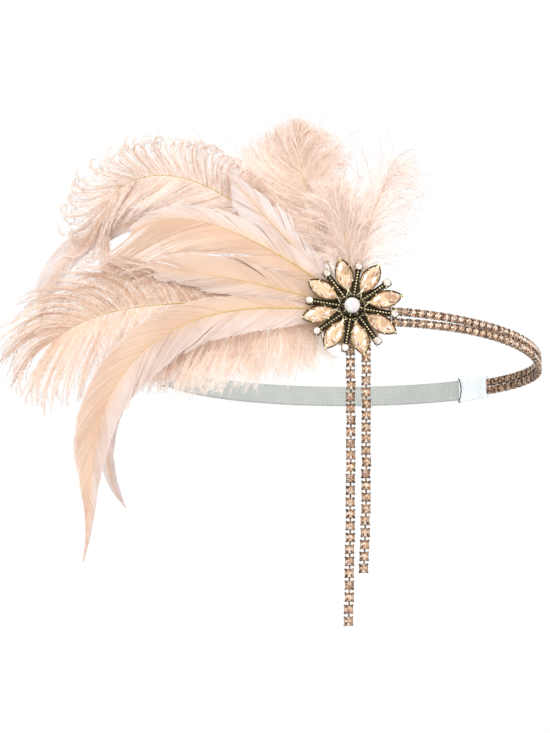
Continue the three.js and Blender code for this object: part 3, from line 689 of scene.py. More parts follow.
class HEADBAND_OT_end_tabs(bpy.types.Operator):
    """Makes the folded tape tabs that join the elastic to the chain"""
    bl_idname = "headband.end_tabs"
    bl_label = "End Tabs"

    def execute(self, context):
        band = context.scene.headband_band
        white = woven_material("Tab tape", tuple(band.tab), 0.4 * MM, 0.4 * MM, 0.5, 0.97, 0.1)
        # Near-black tape for the rods round the tabs' mouths: painted shadow where the tape folds
        dark = woven_material("Tab mouth painted shadow", (0.10, 0.11, 0.12, 1), 0.4 * MM, 0.4 * MM, 0.5)
        for name, side, arc in (("right", 1, RIGHT_TAB_ARC), ("left", -1, -LEFT_TAB_ARC)):
            whole = bmesh.new()
            tape = self.sleeve(arc, side, band)
            rim = self.painted_shadow_rim(arc + side * TAB_LENGTH / 2, side, band)
            joined(whole, tape, Matrix.Identity(4), 0)
            joined(whole, rim, Matrix.Identity(4), 1)
            tape.free()
            rim.free()
            piece = finish_piece(f"end_tab_{name}_cloth", whole, [white, dark], f"end_tab_{name}")
        return {"FINISHED"}

    def section(self, turn_share, band, margin):
        """A point of the tab's rounded section, at a share of a turn, in the loop's frame."""
        thick = band.elastic_thickness / 2 + GAP + margin
        high = band.elastic_height / 2 + GAP + margin
        angle = 2 * math.pi * turn_share
        x, y = math.cos(angle), math.sin(angle)
        return Vector((0, high * math.copysign(abs(y) ** 0.3, y), thick * math.copysign(abs(x) ** 0.45, x)))

    def sleeve(self, arc, side, band):
        """A folded tape round the elastic's end, open at the mouth and sewn shut at the chain."""
        part = bmesh.new()
        order = part.verts.layers.int.new("order")
        count, stations = 48, 20
        ring = bmesh.ops.create_circle(part, cap_ends=False, segments=count, radius=1)["verts"]
        shape = [self.section(i / count, band, 0.6 * MM) for i in range(count)]
        shut = arc - side * TAB_LENGTH / 2

        def place(v, share):
            at = loop_frame(shut + side * TAB_LENGTH * share)
            crease = 1 - 0.12 * math.exp(-((share - 0.35) / 0.05) ** 2) - 0.25 * (1 - share) ** 12
            flat = shape[v[order]].copy()
            flat.z *= crease
            v.co = at @ flat

        for i, v in enumerate(ring):
            v[order] = i
            place(v, 0)
        bmesh.ops.contextual_create(part, geom=part.edges[:])
        edges = part.edges[:]
        for station in range(1, stations + 1):
            made = bmesh.ops.extrude_edge_only(part, edges=edges)
            edges = made_edges(made)
            for v in made_verts(made):
                place(v, station / stations)
        bmesh.ops.recalc_face_normals(part, faces=part.faces)
        uv = part.loops.layers.uv.new("tape")
        for face in part.faces:
            for loop in face.loops:
                loop[uv].uv = (loop.vert.co.x - loop.vert.co.y, loop.vert.co.z)
        bmesh.ops.solidify(part, geom=part.faces[:], thickness=0.6 * MM)
        return part

    def painted_shadow_rim(self, arc, side, band):
        """A near-black rod round the mouth of a tab, as painted shadow of the fold there: bowed into the tab, with its
        ends curled back.
        """
        part = bmesh.new()
        count = 48
        high = band.elastic_height / 2 + GAP + 0.6 * MM
        middle = []
        for i in range(count):
            spot = self.section(i / count, band, 0.75 * MM)
            share = min(1, abs(spot.y) / high)
            back = -side * (1.3 * MM * (1 - share ** 2) - 0.5 * MM * share ** 8)
            middle.append(loop_frame(arc + back) @ spot)
        for i in range(count):
            rod = claw(middle[i - 1], middle[i - 1] * 0.6 + middle[i] * 0.4, middle[i], 0.3 * MM, 6)
            joined(part, rod, Matrix.Identity(4))
            rod.free()
        return part


# Crystal cup chain

def crystal_cup(radius, stone_radius, depth, seed):
    """A square cup of chain with four claws and its stone: metal in slot 0, stone in slot 1. It faces Z."""
    part = bmesh.new()
    cup = disc(radius * 1.16, 0, depth, 4, 0.45 * MM, radius * 1.3)
    joined(part, cup, Matrix.Rotation(math.radians(45), 4, "Z"), 0)
    for k in range(4):
        angle = math.radians(45 + 90 * k)
        spot = Vector((math.cos(angle), math.sin(angle), 0)) * radius
        rod = claw(
            spot * 1.05, spot * 1.2 + Vector((0, 0, depth * 1.05)),
            spot * 0.72 + Vector((0, 0, depth * 1.4)), 0.46 * MM, 5)
        joined(part, rod, Matrix.Identity(4), 0)
        rod.free()
    stone = bmesh.new()
    bmesh.ops.create_cone(
        stone, cap_ends=True, segments=8, radius1=stone_radius, radius2=stone_radius * 0.5, depth=0.8 * MM,
        matrix=Matrix.Translation((0, 0, depth + 0.4 * MM)) @ Matrix.Rotation(math.radians(22.5), 4, "Z"))
    bmesh.ops.poke(stone, faces=[face for face in stone.faces if face.normal.z > 0.9])
    # Each facet's random value picks its painted reflection, from dark to a near-white glint, in the stone material
    facet = stone.faces.layers.float.new("facet")
    chance = np.random.default_rng(seed)
    for face in stone.faces:
        face[facet] = chance.uniform(0, 1)
    joined(part, stone, Matrix.Identity(4), 1)
    cup.free()
    stone.free()
    return part


def link_bar(part, pitch, width, height):
    bar = block((pitch, width, 0.5 * MM), (pitch / 2, 0, height), 0.12 * MM)
    joined(part, bar, Matrix.Identity(4), 0)
    bar.free()


def chain_materials(chain):
    metal = metal_material(
        "Rose gold cups", [c * 0.12 for c in tuple(chain.metal)[:3]] + [1], tuple(chain.metal), 0.28, 900, 0.4, 0.62)
    stone = gem_material("Champagne crystal", tuple(chain.stone), 1300, 0.8)
    return [metal, stone]


class HEADBAND_OT_crystal_rows(bpy.types.Operator):
    """Makes the two rows of cup chain round the front of the loop"""
    bl_idname = "headband.crystal_rows"
    bl_label = "Crystal Rows"

    def execute(self, context):
        chain = context.scene.headband_chain
        materials = chain_materials(chain)
        start = -LEFT_TAB_ARC + TAB_LENGTH / 2 - 1 * MM
        end = RIGHT_TAB_ARC - TAB_LENGTH / 2 + 1 * MM
        count = int((end - start) / chain.row_pitch)
        pitch = (end - start) / count
        cups = [crystal_cup(ROW_HEIGHT / 2, chain.stone_radius, 1.7 * MM, seed) for seed in range(7)]
        for cup in cups:
            link_bar(cup, pitch, 0.9 * MM, 0.5 * MM)
        for name, side in (("crystal_row_upper", 1), ("crystal_row_lower", -1)):
            row = bmesh.new()
            chance = np.random.default_rng(11 + side)
            for k in range(count):
                arc = start + pitch * (k + 0.5)
                sway = Matrix.Rotation(math.radians(chance.uniform(-3, 3)), 4, "Y")
                place = Matrix.Translation((0, side * row_height(arc), -ROW_BACK)) @ sway
                joined(row, cups[int(chance.integers(7))], loop_frame(arc) @ place)
            piece = finish_piece(name + "_chain", row, materials, name, smooth=False)
        for cup in cups:
            cup.free()
        return {"FINISHED"}


class HEADBAND_OT_hanging_strands(bpy.types.Operator):
    """Makes the two strands of cup chain that hang below the brooch"""
    bl_idname = "headband.hanging_strands"
    bl_label = "Hanging Strands"

    def execute(self, context):
        chain = context.scene.headband_chain
        materials = chain_materials(chain)
        pitch = chain.strand_pitch
        cups = [crystal_cup(2.15 * MM, chain.stone_radius * 1.08, 1.7 * MM, 20 + seed) for seed in range(8)]
        for cup in cups[:7]:
            link_bar(cup, pitch, 0.8 * MM, 0.75 * MM)
        for name, stones, route in STRANDS:
            points = np.array(route) * MM
            arcs = np.concatenate([[0], np.cumsum(np.hypot(*np.diff(points, axis=0).T))])
            strand = bmesh.new()
            chance = np.random.default_rng(stones)
            for k in range(stones):
                x, y = (np.interp(k * pitch, arcs, points[:, i]) for i in (0, 1))
                sway = Matrix.Rotation(math.radians(chance.uniform(-7, 7)), 4, "Y")
                down = Matrix.Rotation(math.radians(-90), 4, "Z")
                place = Matrix.Translation((x, y, -2.8 * MM)) @ sway @ down
                joined(strand, cups[int(chance.integers(7)) if k < stones - 1 else 7], FACE @ place)
            piece = finish_piece(name + "_chain", strand, materials, name, smooth=False)
        for cup in cups:
            cup.free()
        return {"FINISHED"}


# Brooch

class HEADBAND_OT_brooch_casting(bpy.types.Operator):
    """Makes the brass flower: plate, petal settings, beaded arms, stone cups and pearl ring"""
    bl_idname = "headband.brooch_casting"
    bl_label = "Brooch Casting"

    def execute(self, context):
        brooch = context.scene.headband_brooch
        patina, brass = tuple(brooch.patina), tuple(brooch.brass)
        hollow = [c * 0.16 for c in brass[:3]] + [1]
        dark = metal_material("Brass patina", patina, hollow, 0.45, 620, 0.35, 0.7)
        bright = metal_material("Worn brass", [c * 0.3 for c in brass[:3]] + [1], brass, 0.28, 800)
        casting = bmesh.new()
        self.add(casting, disc(12 * MM, 0, 1 * MM, 48, 0.2 * MM), Matrix.Identity(4), 0)
        self.add(casting, disc(POST_RADIUS, GAP - FEATHER_STACK, 0.5 * MM, 20, 0.2 * MM), Matrix.Identity(4), 0)
        self.add(casting, disc(4.9 * MM, 0.8 * MM, 2.6 * MM, 40, 0.3 * MM, 4.6 * MM), Matrix.Identity(4), 0)
        for k in range(16):
            spike = claw((4.4 * MM, 0, 2.2 * MM), (4.5 * MM, 0, 3.3 * MM), (3.4 * MM, 0, 4.6 * MM), 0.3 * MM)
            self.add(casting, spike, turn(360 / 16 * (k + 0.5)), k % 2)
        for i in range(PETALS):
            self.add(casting, self.setting(), turn(petal_angle(i), PETAL_CENTRE_RADIUS), 1)
            self.petal_claws(casting, turn(petal_angle(i), PETAL_CENTRE_RADIUS))
            self.root_ornament(casting, turn(petal_angle(i)))
            self.arm(casting, petal_angle(i + 0.5), brooch.milgrain)
        piece = finish_piece("brooch_casting", casting, [dark, bright], "brooch_frame", smooth=False)
        piece.data.polygons.foreach_set("use_smooth", [True] * len(piece.data.polygons))
        piece.data.set_sharp_from_angle(angle=math.radians(38))
        return {"FINISHED"}

    def add(self, casting, part, local, slot):
        joined(casting, part, FACE @ local, slot)
        part.free()

    def setting(self):
        """The boat-shaped cup of a petal stone, with its walls flared to the rim."""
        part = bmesh.new()
        half_length, half_width = NAVETTE_LENGTH / 2 + GAP, NAVETTE_WIDTH / 2 + GAP
        navette(part, half_length * 0.93, half_width * 0.9, 0)
        base = part.faces[:]
        made = bmesh.ops.extrude_face_region(part, geom=base)
        for v in made_verts(made):
            v.co.z = SETTING_HEIGHT
            v.co.x *= (half_length + SETTING_WALL) / (half_length * 0.93)
            v.co.y *= (half_width + SETTING_WALL) / (half_width * 0.9)
        top = [face for face in part.faces if all(abs(v.co.z - SETTING_HEIGHT) < 1e-7 for v in face.verts)]
        bmesh.ops.inset_region(part, faces=top, thickness=SETTING_WALL, use_even_offset=True)
        top = [face for face in top if face.is_valid]
        for v in {v for face in top for v in face.verts}:
            v.co.z = SETTING_HEIGHT - 1.2 * MM
        bmesh.ops.recalc_face_normals(part, faces=part.faces)
        return part

    def petal_claws(self, casting, place):
        """Pointed claws over both ends of a petal stone and two pairs along its sides."""
        tip = NAVETTE_LENGTH / 2 + 0.4 * MM
        for end in (1, -1):
            rod = claw(
                (end * tip, 0, 1.2 * MM), (end * tip, 0, SETTING_HEIGHT + 0.5 * MM),
                (end * (tip - 2 * MM), 0, SETTING_HEIGHT + 0.75 * MM), 0.5 * MM)
            self.add(casting, rod, place, 1)
        for x in (-3.6 * MM, 3.6 * MM):
            y = 2.95 * MM
            for side in (1, -1):
                rod = claw(
                    (x, side * (y + 0.25 * MM), 1.2 * MM), (x, side * (y + 0.25 * MM), SETTING_HEIGHT + 0.3 * MM),
                    (x, side * (y - 0.7 * MM), SETTING_HEIGHT + 0.55 * MM), 0.32 * MM)
                self.add(casting, rod, place, 1)

    def root_ornament(self, casting, place):
        """A pointed arch of two rods with a bead, at the root of a petal."""
        for side in (1, -1):
            rod = claw(
                (5.3 * MM, side * 1.25 * MM, 1.9 * MM), (5.9 * MM, side * 1.05 * MM, 2.5 * MM),
                (7.7 * MM, side * 0.1 * MM, 3.1 * MM), 0.26 * MM)
            self.add(casting, rod, place, 1)
        self.add(casting, bead(0.4 * MM, (5.75 * MM, 0, 2.5 * MM), 8, 6), place, 1)

    def arm(self, casting, angle, beads):
        """An arm with a beaded ridge between two rails, and the clawed cup at its end."""
        inner, outer = 4.4 * MM, ROUND_STONE_RADIUS_AT - 1.6 * MM
        length = outer - inner
        self.add(casting, block((length, 2.5 * MM, 1.4 * MM), (inner + length / 2, 0, 0.7 * MM), 0.15 * MM), turn(angle), 0)
        for side in (1, -1):
            rail = block((length, 0.34 * MM, 0.9 * MM), (inner + length / 2, side * 1.08 * MM, 1.7 * MM), 0.12 * MM)
            self.add(casting, rail, turn(angle), 0)
        pitch = (length - 1.2 * MM) / beads
        for k in range(beads):
            ball = bead(0.58 * MM, (inner + 0.9 * MM + pitch * (k + 0.5), 0, 1.75 * MM), 8, 6)
            self.add(casting, ball, turn(angle), 1)
        place = turn(angle, ROUND_STONE_RADIUS_AT)
        self.add(casting, disc(1.7 * MM, 0, 2.3 * MM, 20, 0.12 * MM, 2.0 * MM), place, 0)
        for k in range(4):
            way = Vector((math.cos(math.radians(45 + 90 * k)), math.sin(math.radians(45 + 90 * k)), 0))
            rod = claw(
                way * 2.05 * MM, way * 2.15 * MM + Vector((0, 0, 2.9 * MM)),
                way * 1.45 * MM + Vector((0, 0, 3.45 * MM)), 0.3 * MM)
            self.add(casting, rod, place, 1)


class HEADBAND_OT_brooch_stones(bpy.types.Operator):
    """Cuts the eight petal stones and the eight round stones of the brooch"""
    bl_idname = "headband.brooch_stones"
    bl_label = "Brooch Stones"

    def execute(self, context):
        brooch = context.scene.headband_brooch
        champagne = gem_material("Champagne petal stone", tuple(brooch.petal), 330, 0.6)
        clear = gem_material("Clear round stone", (0.97, 0.92, 0.90, 1), 700)
        for i in range(PETALS):
            petal = bmesh.new()
            stone = self.navette_cut(i)
            joined(petal, stone, FACE @ turn(petal_angle(i), PETAL_CENTRE_RADIUS))
            stone.free()
            piece = finish_piece(f"petal_stone_{i + 1}_cut", petal, [champagne], f"petal_stone_{i + 1}", smooth=False)
            whole = bmesh.new()
            stone = self.round_cut(i)
            joined(whole, stone, FACE @ turn(petal_angle(i + 0.5), ROUND_STONE_RADIUS_AT))
            stone.free()
            piece = finish_piece(f"round_stone_{i + 1}_cut", whole, [clear], f"round_stone_{i + 1}", smooth=False)
        return {"FINISHED"}

    def navette_cut(self, seed):
        """A boat-shaped stone: girdle, two rows of crown facets and a table."""
        part = bmesh.new()
        half_length, half_width = NAVETTE_LENGTH / 2, NAVETTE_WIDTH / 2
        navette(part, half_length * 0.3, half_width * 0.3, NAVETTE_SEAT, 16)
        shares = [(1, NAVETTE_SEAT + 1.5 * MM), (1, SETTING_HEIGHT), (0.76, SETTING_HEIGHT + 1.0 * MM), (0.46, SETTING_HEIGHT + 1.5 * MM)]
        self.rise(part, 0.3, shares)
        return part

    def round_cut(self, seed):
        part = bmesh.new()
        bmesh.ops.create_circle(part, cap_ends=True, segments=8, radius=0.5 * MM, matrix=Matrix.Translation((0, 0, 1.3 * MM)))
        radius = 1.8
        shares = [(radius, 2.5 * MM), (radius, 2.8 * MM), (radius * 0.8, 3.3 * MM), (radius * 0.5, 3.6 * MM)]
        self.rise(part, 0.5, shares)
        return part

    def rise(self, part, first, shares):
        """Raises the outline through its girdle and crown, then triangulates the crown's facets."""
        top = part.faces[:]
        last = first
        for share, height in shares:
            made = bmesh.ops.extrude_face_region(part, geom=top)
            new = made_verts(made)
            for v in new:
                v.co.x *= share / last
                v.co.y *= share / last
                v.co.z = height
            top = [item for item in made["geom"] if isinstance(item, bmesh.types.BMFace)]
            last = share
        bmesh.ops.recalc_face_normals(part, faces=part.faces)
        sides = [face for face in part.faces if len(face.verts) == 4]
        bmesh.ops.triangulate(part, faces=sides, quad_method="ALTERNATE")
        # Each crown facet's random value picks its painted reflection, from dark to a near-white glint; the table and
        # the base keep the body colour
        facet = part.faces.layers.float.new("facet")
        chance = np.random.default_rng(len(part.faces))
        for face in part.faces:
            face[facet] = chance.uniform(0, 1) if len(face.verts) == 3 else 0.6


class HEADBAND_OT_centre_pearl(bpy.types.Operator):
    """Makes the pearl at the middle of the brooch"""
    bl_idname = "headband.centre_pearl"
    bl_label = "Centre Pearl"

    def execute(self, context):
        brooch = context.scene.headband_brooch
        pearl = bmesh.new()
        ball = bead(PEARL_RADIUS, (0, 0, PEARL_HEIGHT), 40, 24)
        for v in ball.verts:
            v.co.x *= 1 + 0.012 * math.sin(v.co.y * 900)
        joined(pearl, ball, FACE)
        ball.free()
        piece = finish_piece("centre_pearl_polished", pearl, [pearl_material(tuple(brooch.pearl))], "centre_pearl")
        return {"FINISHED"}


class HEADBAND_OT_feather_pad(bpy.types.Operator):
    """Makes the felt disc that backs the feathers"""
    bl_idname = "headband.feather_pad"
    bl_label = "Feather Pad"

    def execute(self, context):
        pad = bmesh.new()
        felt = disc(PAD_RADIUS, -FEATHER_STACK - 2 * MM, -FEATHER_STACK, 72, 0.5 * MM)
        joined(pad, felt, FACE)
        felt.free()
        piece = finish_piece("feather_pad_felt", pad, [felt_material((0.80, 0.60, 0.48, 1))], "feather_pad", smooth=False)
        return {"FINISHED"}


# Feathers

def fanned(x, y, layer, depth, rise=0.0):
    """Places in the brooch's frame of points of the fan's layer, as in the frame's solids."""
    reach = np.maximum(0, np.hypot(x, y) - PAD_RADIUS) / FAN_REACH
    z = depth - GAP / 2 - (layer + 0.5) * LAYER_PITCH
    backwards = FAN_SWEEP_BACK * reach ** 2 - z * FAN_SPREAD * reach
    return np.stack([x, y + FAN_LIFT * backwards, z - backwards + rise], -1)


def in_row_frame(points):
    return np.stack([points[..., 0], BROOCH_PLANE - points[..., 2], points[..., 1]], -1)


def through_four(values, share):
    total = 0
    for i in range(4):
        weight = values[i]
        for j in range(4):
            if j != i:
                weight = weight * (share * 3 - j) / (i - j)
        total = total + weight
    return total


class Quill:
    """The line of a quill in the fan's plane: places and headings by share of its length."""

    def __init__(self, length, headings):
        self.length = length * MM
        self.shares = np.linspace(0, 1, QUILL_STEPS + 1)
        self.angles = through_four(headings, self.shares)
        middle = np.radians(through_four(headings, self.shares[:-1] + 0.5 / QUILL_STEPS))
        steps = np.stack([np.cos(middle), np.sin(middle)], -1) * length * MM / QUILL_STEPS
        start = np.array([math.cos(math.radians(headings[0])), math.sin(math.radians(headings[0]))])
        self.places = np.vstack([[0, 0], np.cumsum(steps, axis=0)]) + start * (POST_RADIUS + GAP)

    def at(self, share):
        x, y = (np.interp(share, self.shares, self.places[:, k]) for k in (0, 1))
        return x, y, np.interp(share, self.shares, self.angles)


def barb_lines(quill, shares, side, reach, leaving, bend, hook, steps, fall=None):
    """Lines of barbs from their roots on the quill: x, y and heading in degrees at each step.

    fall is the share by which each turns downwards on its way.
    """
    x, y, angle = quill.at(shares)
    t = np.linspace(0, 1, steps + 1)
    middle = (t[:-1] + t[1:]) / 2

    def heading(s):
        turned = angle[:, None] + side * leaving[:, None] + bend[:, None] * s
        if fall is not None:
            turned = turned + fall[:, None] * s * ((270 - turned + 180) % 360 - 180)
        return turned + hook[:, None] * s ** 5

    way = np.radians(heading(middle[None, :]))
    zero = np.zeros((len(shares), 1))
    px = x[:, None] + np.hstack([zero, np.cumsum(np.cos(way), axis=1)]) * reach[:, None] / steps
    py = y[:, None] + np.hstack([zero, np.cumsum(np.sin(way), axis=1)]) * reach[:, None] / steps
    return px, py, heading(t[None, :])


def ribbon_rails(px, py, heading, layer, depth, rise, width, roll):
    """The two edges of each ribbon along its line, in the row frame."""
    across = np.radians(heading + 90)
    wx, wy, wz = np.cos(across) * np.cos(roll), np.sin(across) * np.cos(roll), np.sin(roll) * np.ones_like(heading)
    rails = []
    for edge in (1, -1):
        rails.append(fanned(px + edge * wx * width, py + edge * wy * width, layer, depth, rise + edge * wz * width))
    return in_row_frame(np.stack(rails, 2))


def weave(bm, rails, tones, starts=None):
    """Ribbons along pairs of rails, extruded step by step from a short edge at each root.

    Their share of the way along is kept for the material, or, for barbules, that of their root.
    """
    strand = bm.verts.layers.int.get("strand") or bm.verts.layers.int.new("strand")
    edge_side = bm.verts.layers.int.get("edge_side") or bm.verts.layers.int.new("edge_side")
    tone = bm.verts.layers.float.get("tone") or bm.verts.layers.float.new("tone")
    along = bm.verts.layers.float.get("along") or bm.verts.layers.float.new("along")
    count, stations = rails.shape[:2]
    edges = []
    for i in range(count):
        ends = []
        for k in (0, 1):
            v = bm.verts.new(rails[i, 0, k])
            v[strand] = i
            v[edge_side] = k
            v[tone] = tones[i]
            v[along] = 0.0 if starts is None else starts[i]
            ends.append(v)
        edges.append(bm.edges.new(ends))
    for station in range(1, stations):
        made = bmesh.ops.extrude_edge_only(bm, edges=edges)
        edges = made_edges(made)
        here = rails[:, station]
        share = station / (stations - 1)
        for v in made_verts(made):
            v.co = here[v[strand], v[edge_side]]
            v[along] = share if starts is None else starts[v[strand]]


def quill_rod(bm, quill, layer, thick, thin, start, end, slot, sides=6, stations=40):
    """The tapered shaft of a feather, closed at both ends."""
    shares = np.linspace(start, end, stations)
    x, y, angle = quill.at(shares)
    places = in_row_frame(fanned(x, y, layer, 0.0))
    radii = np.interp(shares, [0, 1], [thick, thin])
    rod = bmesh.new()
    order = rod.verts.layers.int.new("order")
    ring = bmesh.ops.create_circle(rod, cap_ends=True, segments=sides, radius=1)["verts"]
    flat = [v.co.copy() for v in ring]
    for i, v in enumerate(ring):
        v[order] = i

    def frame_at(i):
        aim = Vector(places[min(i + 1, stations - 1)] - places[max(i - 1, 0)]).normalized()
        out = Vector((0, -1, 0))
        side = aim.cross(out).normalized()
        up = side.cross(aim)
        return Matrix.Translation(places[i]) @ Matrix((side, up, aim)).transposed().to_4x4()

    at = frame_at(0)
    for v in ring:
        v.co = at @ (flat[v[order]] * radii[0])
    edges = rod.edges[:]
    for i in range(1, stations):
        made = bmesh.ops.extrude_edge_only(rod, edges=edges)
        edges = made_edges(made)
        at = frame_at(i)
        for v in made_verts(made):
            v.co = at @ (flat[v[order]] * radii[i])
    bmesh.ops.holes_fill(rod, edges=edges)
    bmesh.ops.recalc_face_normals(rod, faces=rod.faces)
    joined(bm, rod, Matrix.Identity(4), slot)
    rod.free()


def vane_width(share, bare, late, thin):
    t = np.clip((share - bare) / (1 - bare), 0, 1)
    return np.sin(np.pi * t ** late) ** thin


class HEADBAND_OT_goose_feathers(bpy.types.Operator):
    """Makes the goose feathers, each a quill with two vanes of close barbs that part into locks"""
    bl_idname = "headband.goose_feathers"
    bl_label = "Goose Feathers"

    def execute(self, context):
        feathers = context.scene.headband_feathers
        quill_look = quill_material(tuple(feathers.quill))
        for seed, (name, layer, length, headings, bare, left, right, part) in enumerate(GOOSE):
            chance = np.random.default_rng(100 + seed)
            quill = Quill(length, headings)
            vane = bmesh.new()
            for slot, side, form in ((0, 1, left), (2, -1, right)):
                before = len(vane.faces)
                self.vane(vane, quill, layer, length, side, form, bare, part, feathers.vane_pitch, chance)
                new_slot(vane, before, slot)
            quill_rod(vane, quill, layer, 0.55 * MM, 0.14 * MM, 0, 0.995, 1)
            looks = [self.look(name + " left", feathers, left[3]), quill_look, self.look(name + " right", feathers, right[3])]
            piece = finish_piece(name + "_vane", vane, looks, name)
        return {"FINISHED"}

    def look(self, name, feathers, blush):
        peach, pale = np.array(feathers.peach), np.array(feathers.blush)
        body = peach * (1 - blush) + pale * blush
        root = body * 0.5 + peach * np.array((1.05, 0.98, 0.85, 1)) * 0.5
        tip = body * 0.35 + pale * 0.65
        return barb_material(f"{name} vane", tuple(root), tuple(body), tuple(tip), 0.35, 0.5, 0.3)

    def vane(self, vane, quill, layer, length, side, form, bare, part, pitch, chance):
        """One side's barbs, close together, in locks that part a little at the edge."""
        count = int(length * MM * (1 - bare) / pitch)
        shares = bare + (1 - bare) * (np.arange(count) + 0.5) / count
        t = (shares - bare) / (1 - bare)
        leaving = 34 - 14 * t + 16 * np.exp(-t / 0.08)
        locks = np.cumsum(chance.uniform(0, 1, count) < pitch / (5.5 * MM))
        lean = chance.normal(0, 2.2 * part, locks.max() + 1)[locks]
        lift = chance.normal(0, 0.10 * MM, locks.max() + 1)[locks]
        lengths = chance.normal(1, 0.035, locks.max() + 1)[locks] * chance.normal(1, 0.012, count)
        half, late, thin, _ = form
        width = (vane_width(np.clip(shares + 0.02, 0, 1), bare, late, thin) * half + 0.5) * MM
        reach = width / np.sin(np.radians(leaving)) * lengths
        turning = quill.at(np.minimum(1, shares + reach / (length * MM)))[2] - quill.at(shares)[2]
        bend = side * np.full(count, -12.0) + chance.normal(0, 1.5, count) + turning * 0.85
        steps = 6
        px, py, heading = barb_lines(quill, shares, side, reach, leaving + lean, bend, side * np.full(count, -10.0), steps)
        s = np.linspace(0, 1, steps + 1)[None, :]
        depth = 0.1 * MM - 0.22 * MM * s ** 2 + lift[:, None] * s * 0.5 + np.zeros_like(px)
        taper = (1 - 0.55 * s ** 3)
        rails = ribbon_rails(px, py, heading, layer, depth, 0.0, pitch * 0.62 * taper, 0.22 * side)
        tones = np.clip(chance.normal(0.5, 0.13, count) + chance.normal(0, 0.06, locks.max() + 1)[locks], 0, 1)
        weave(vane, rails, tones)


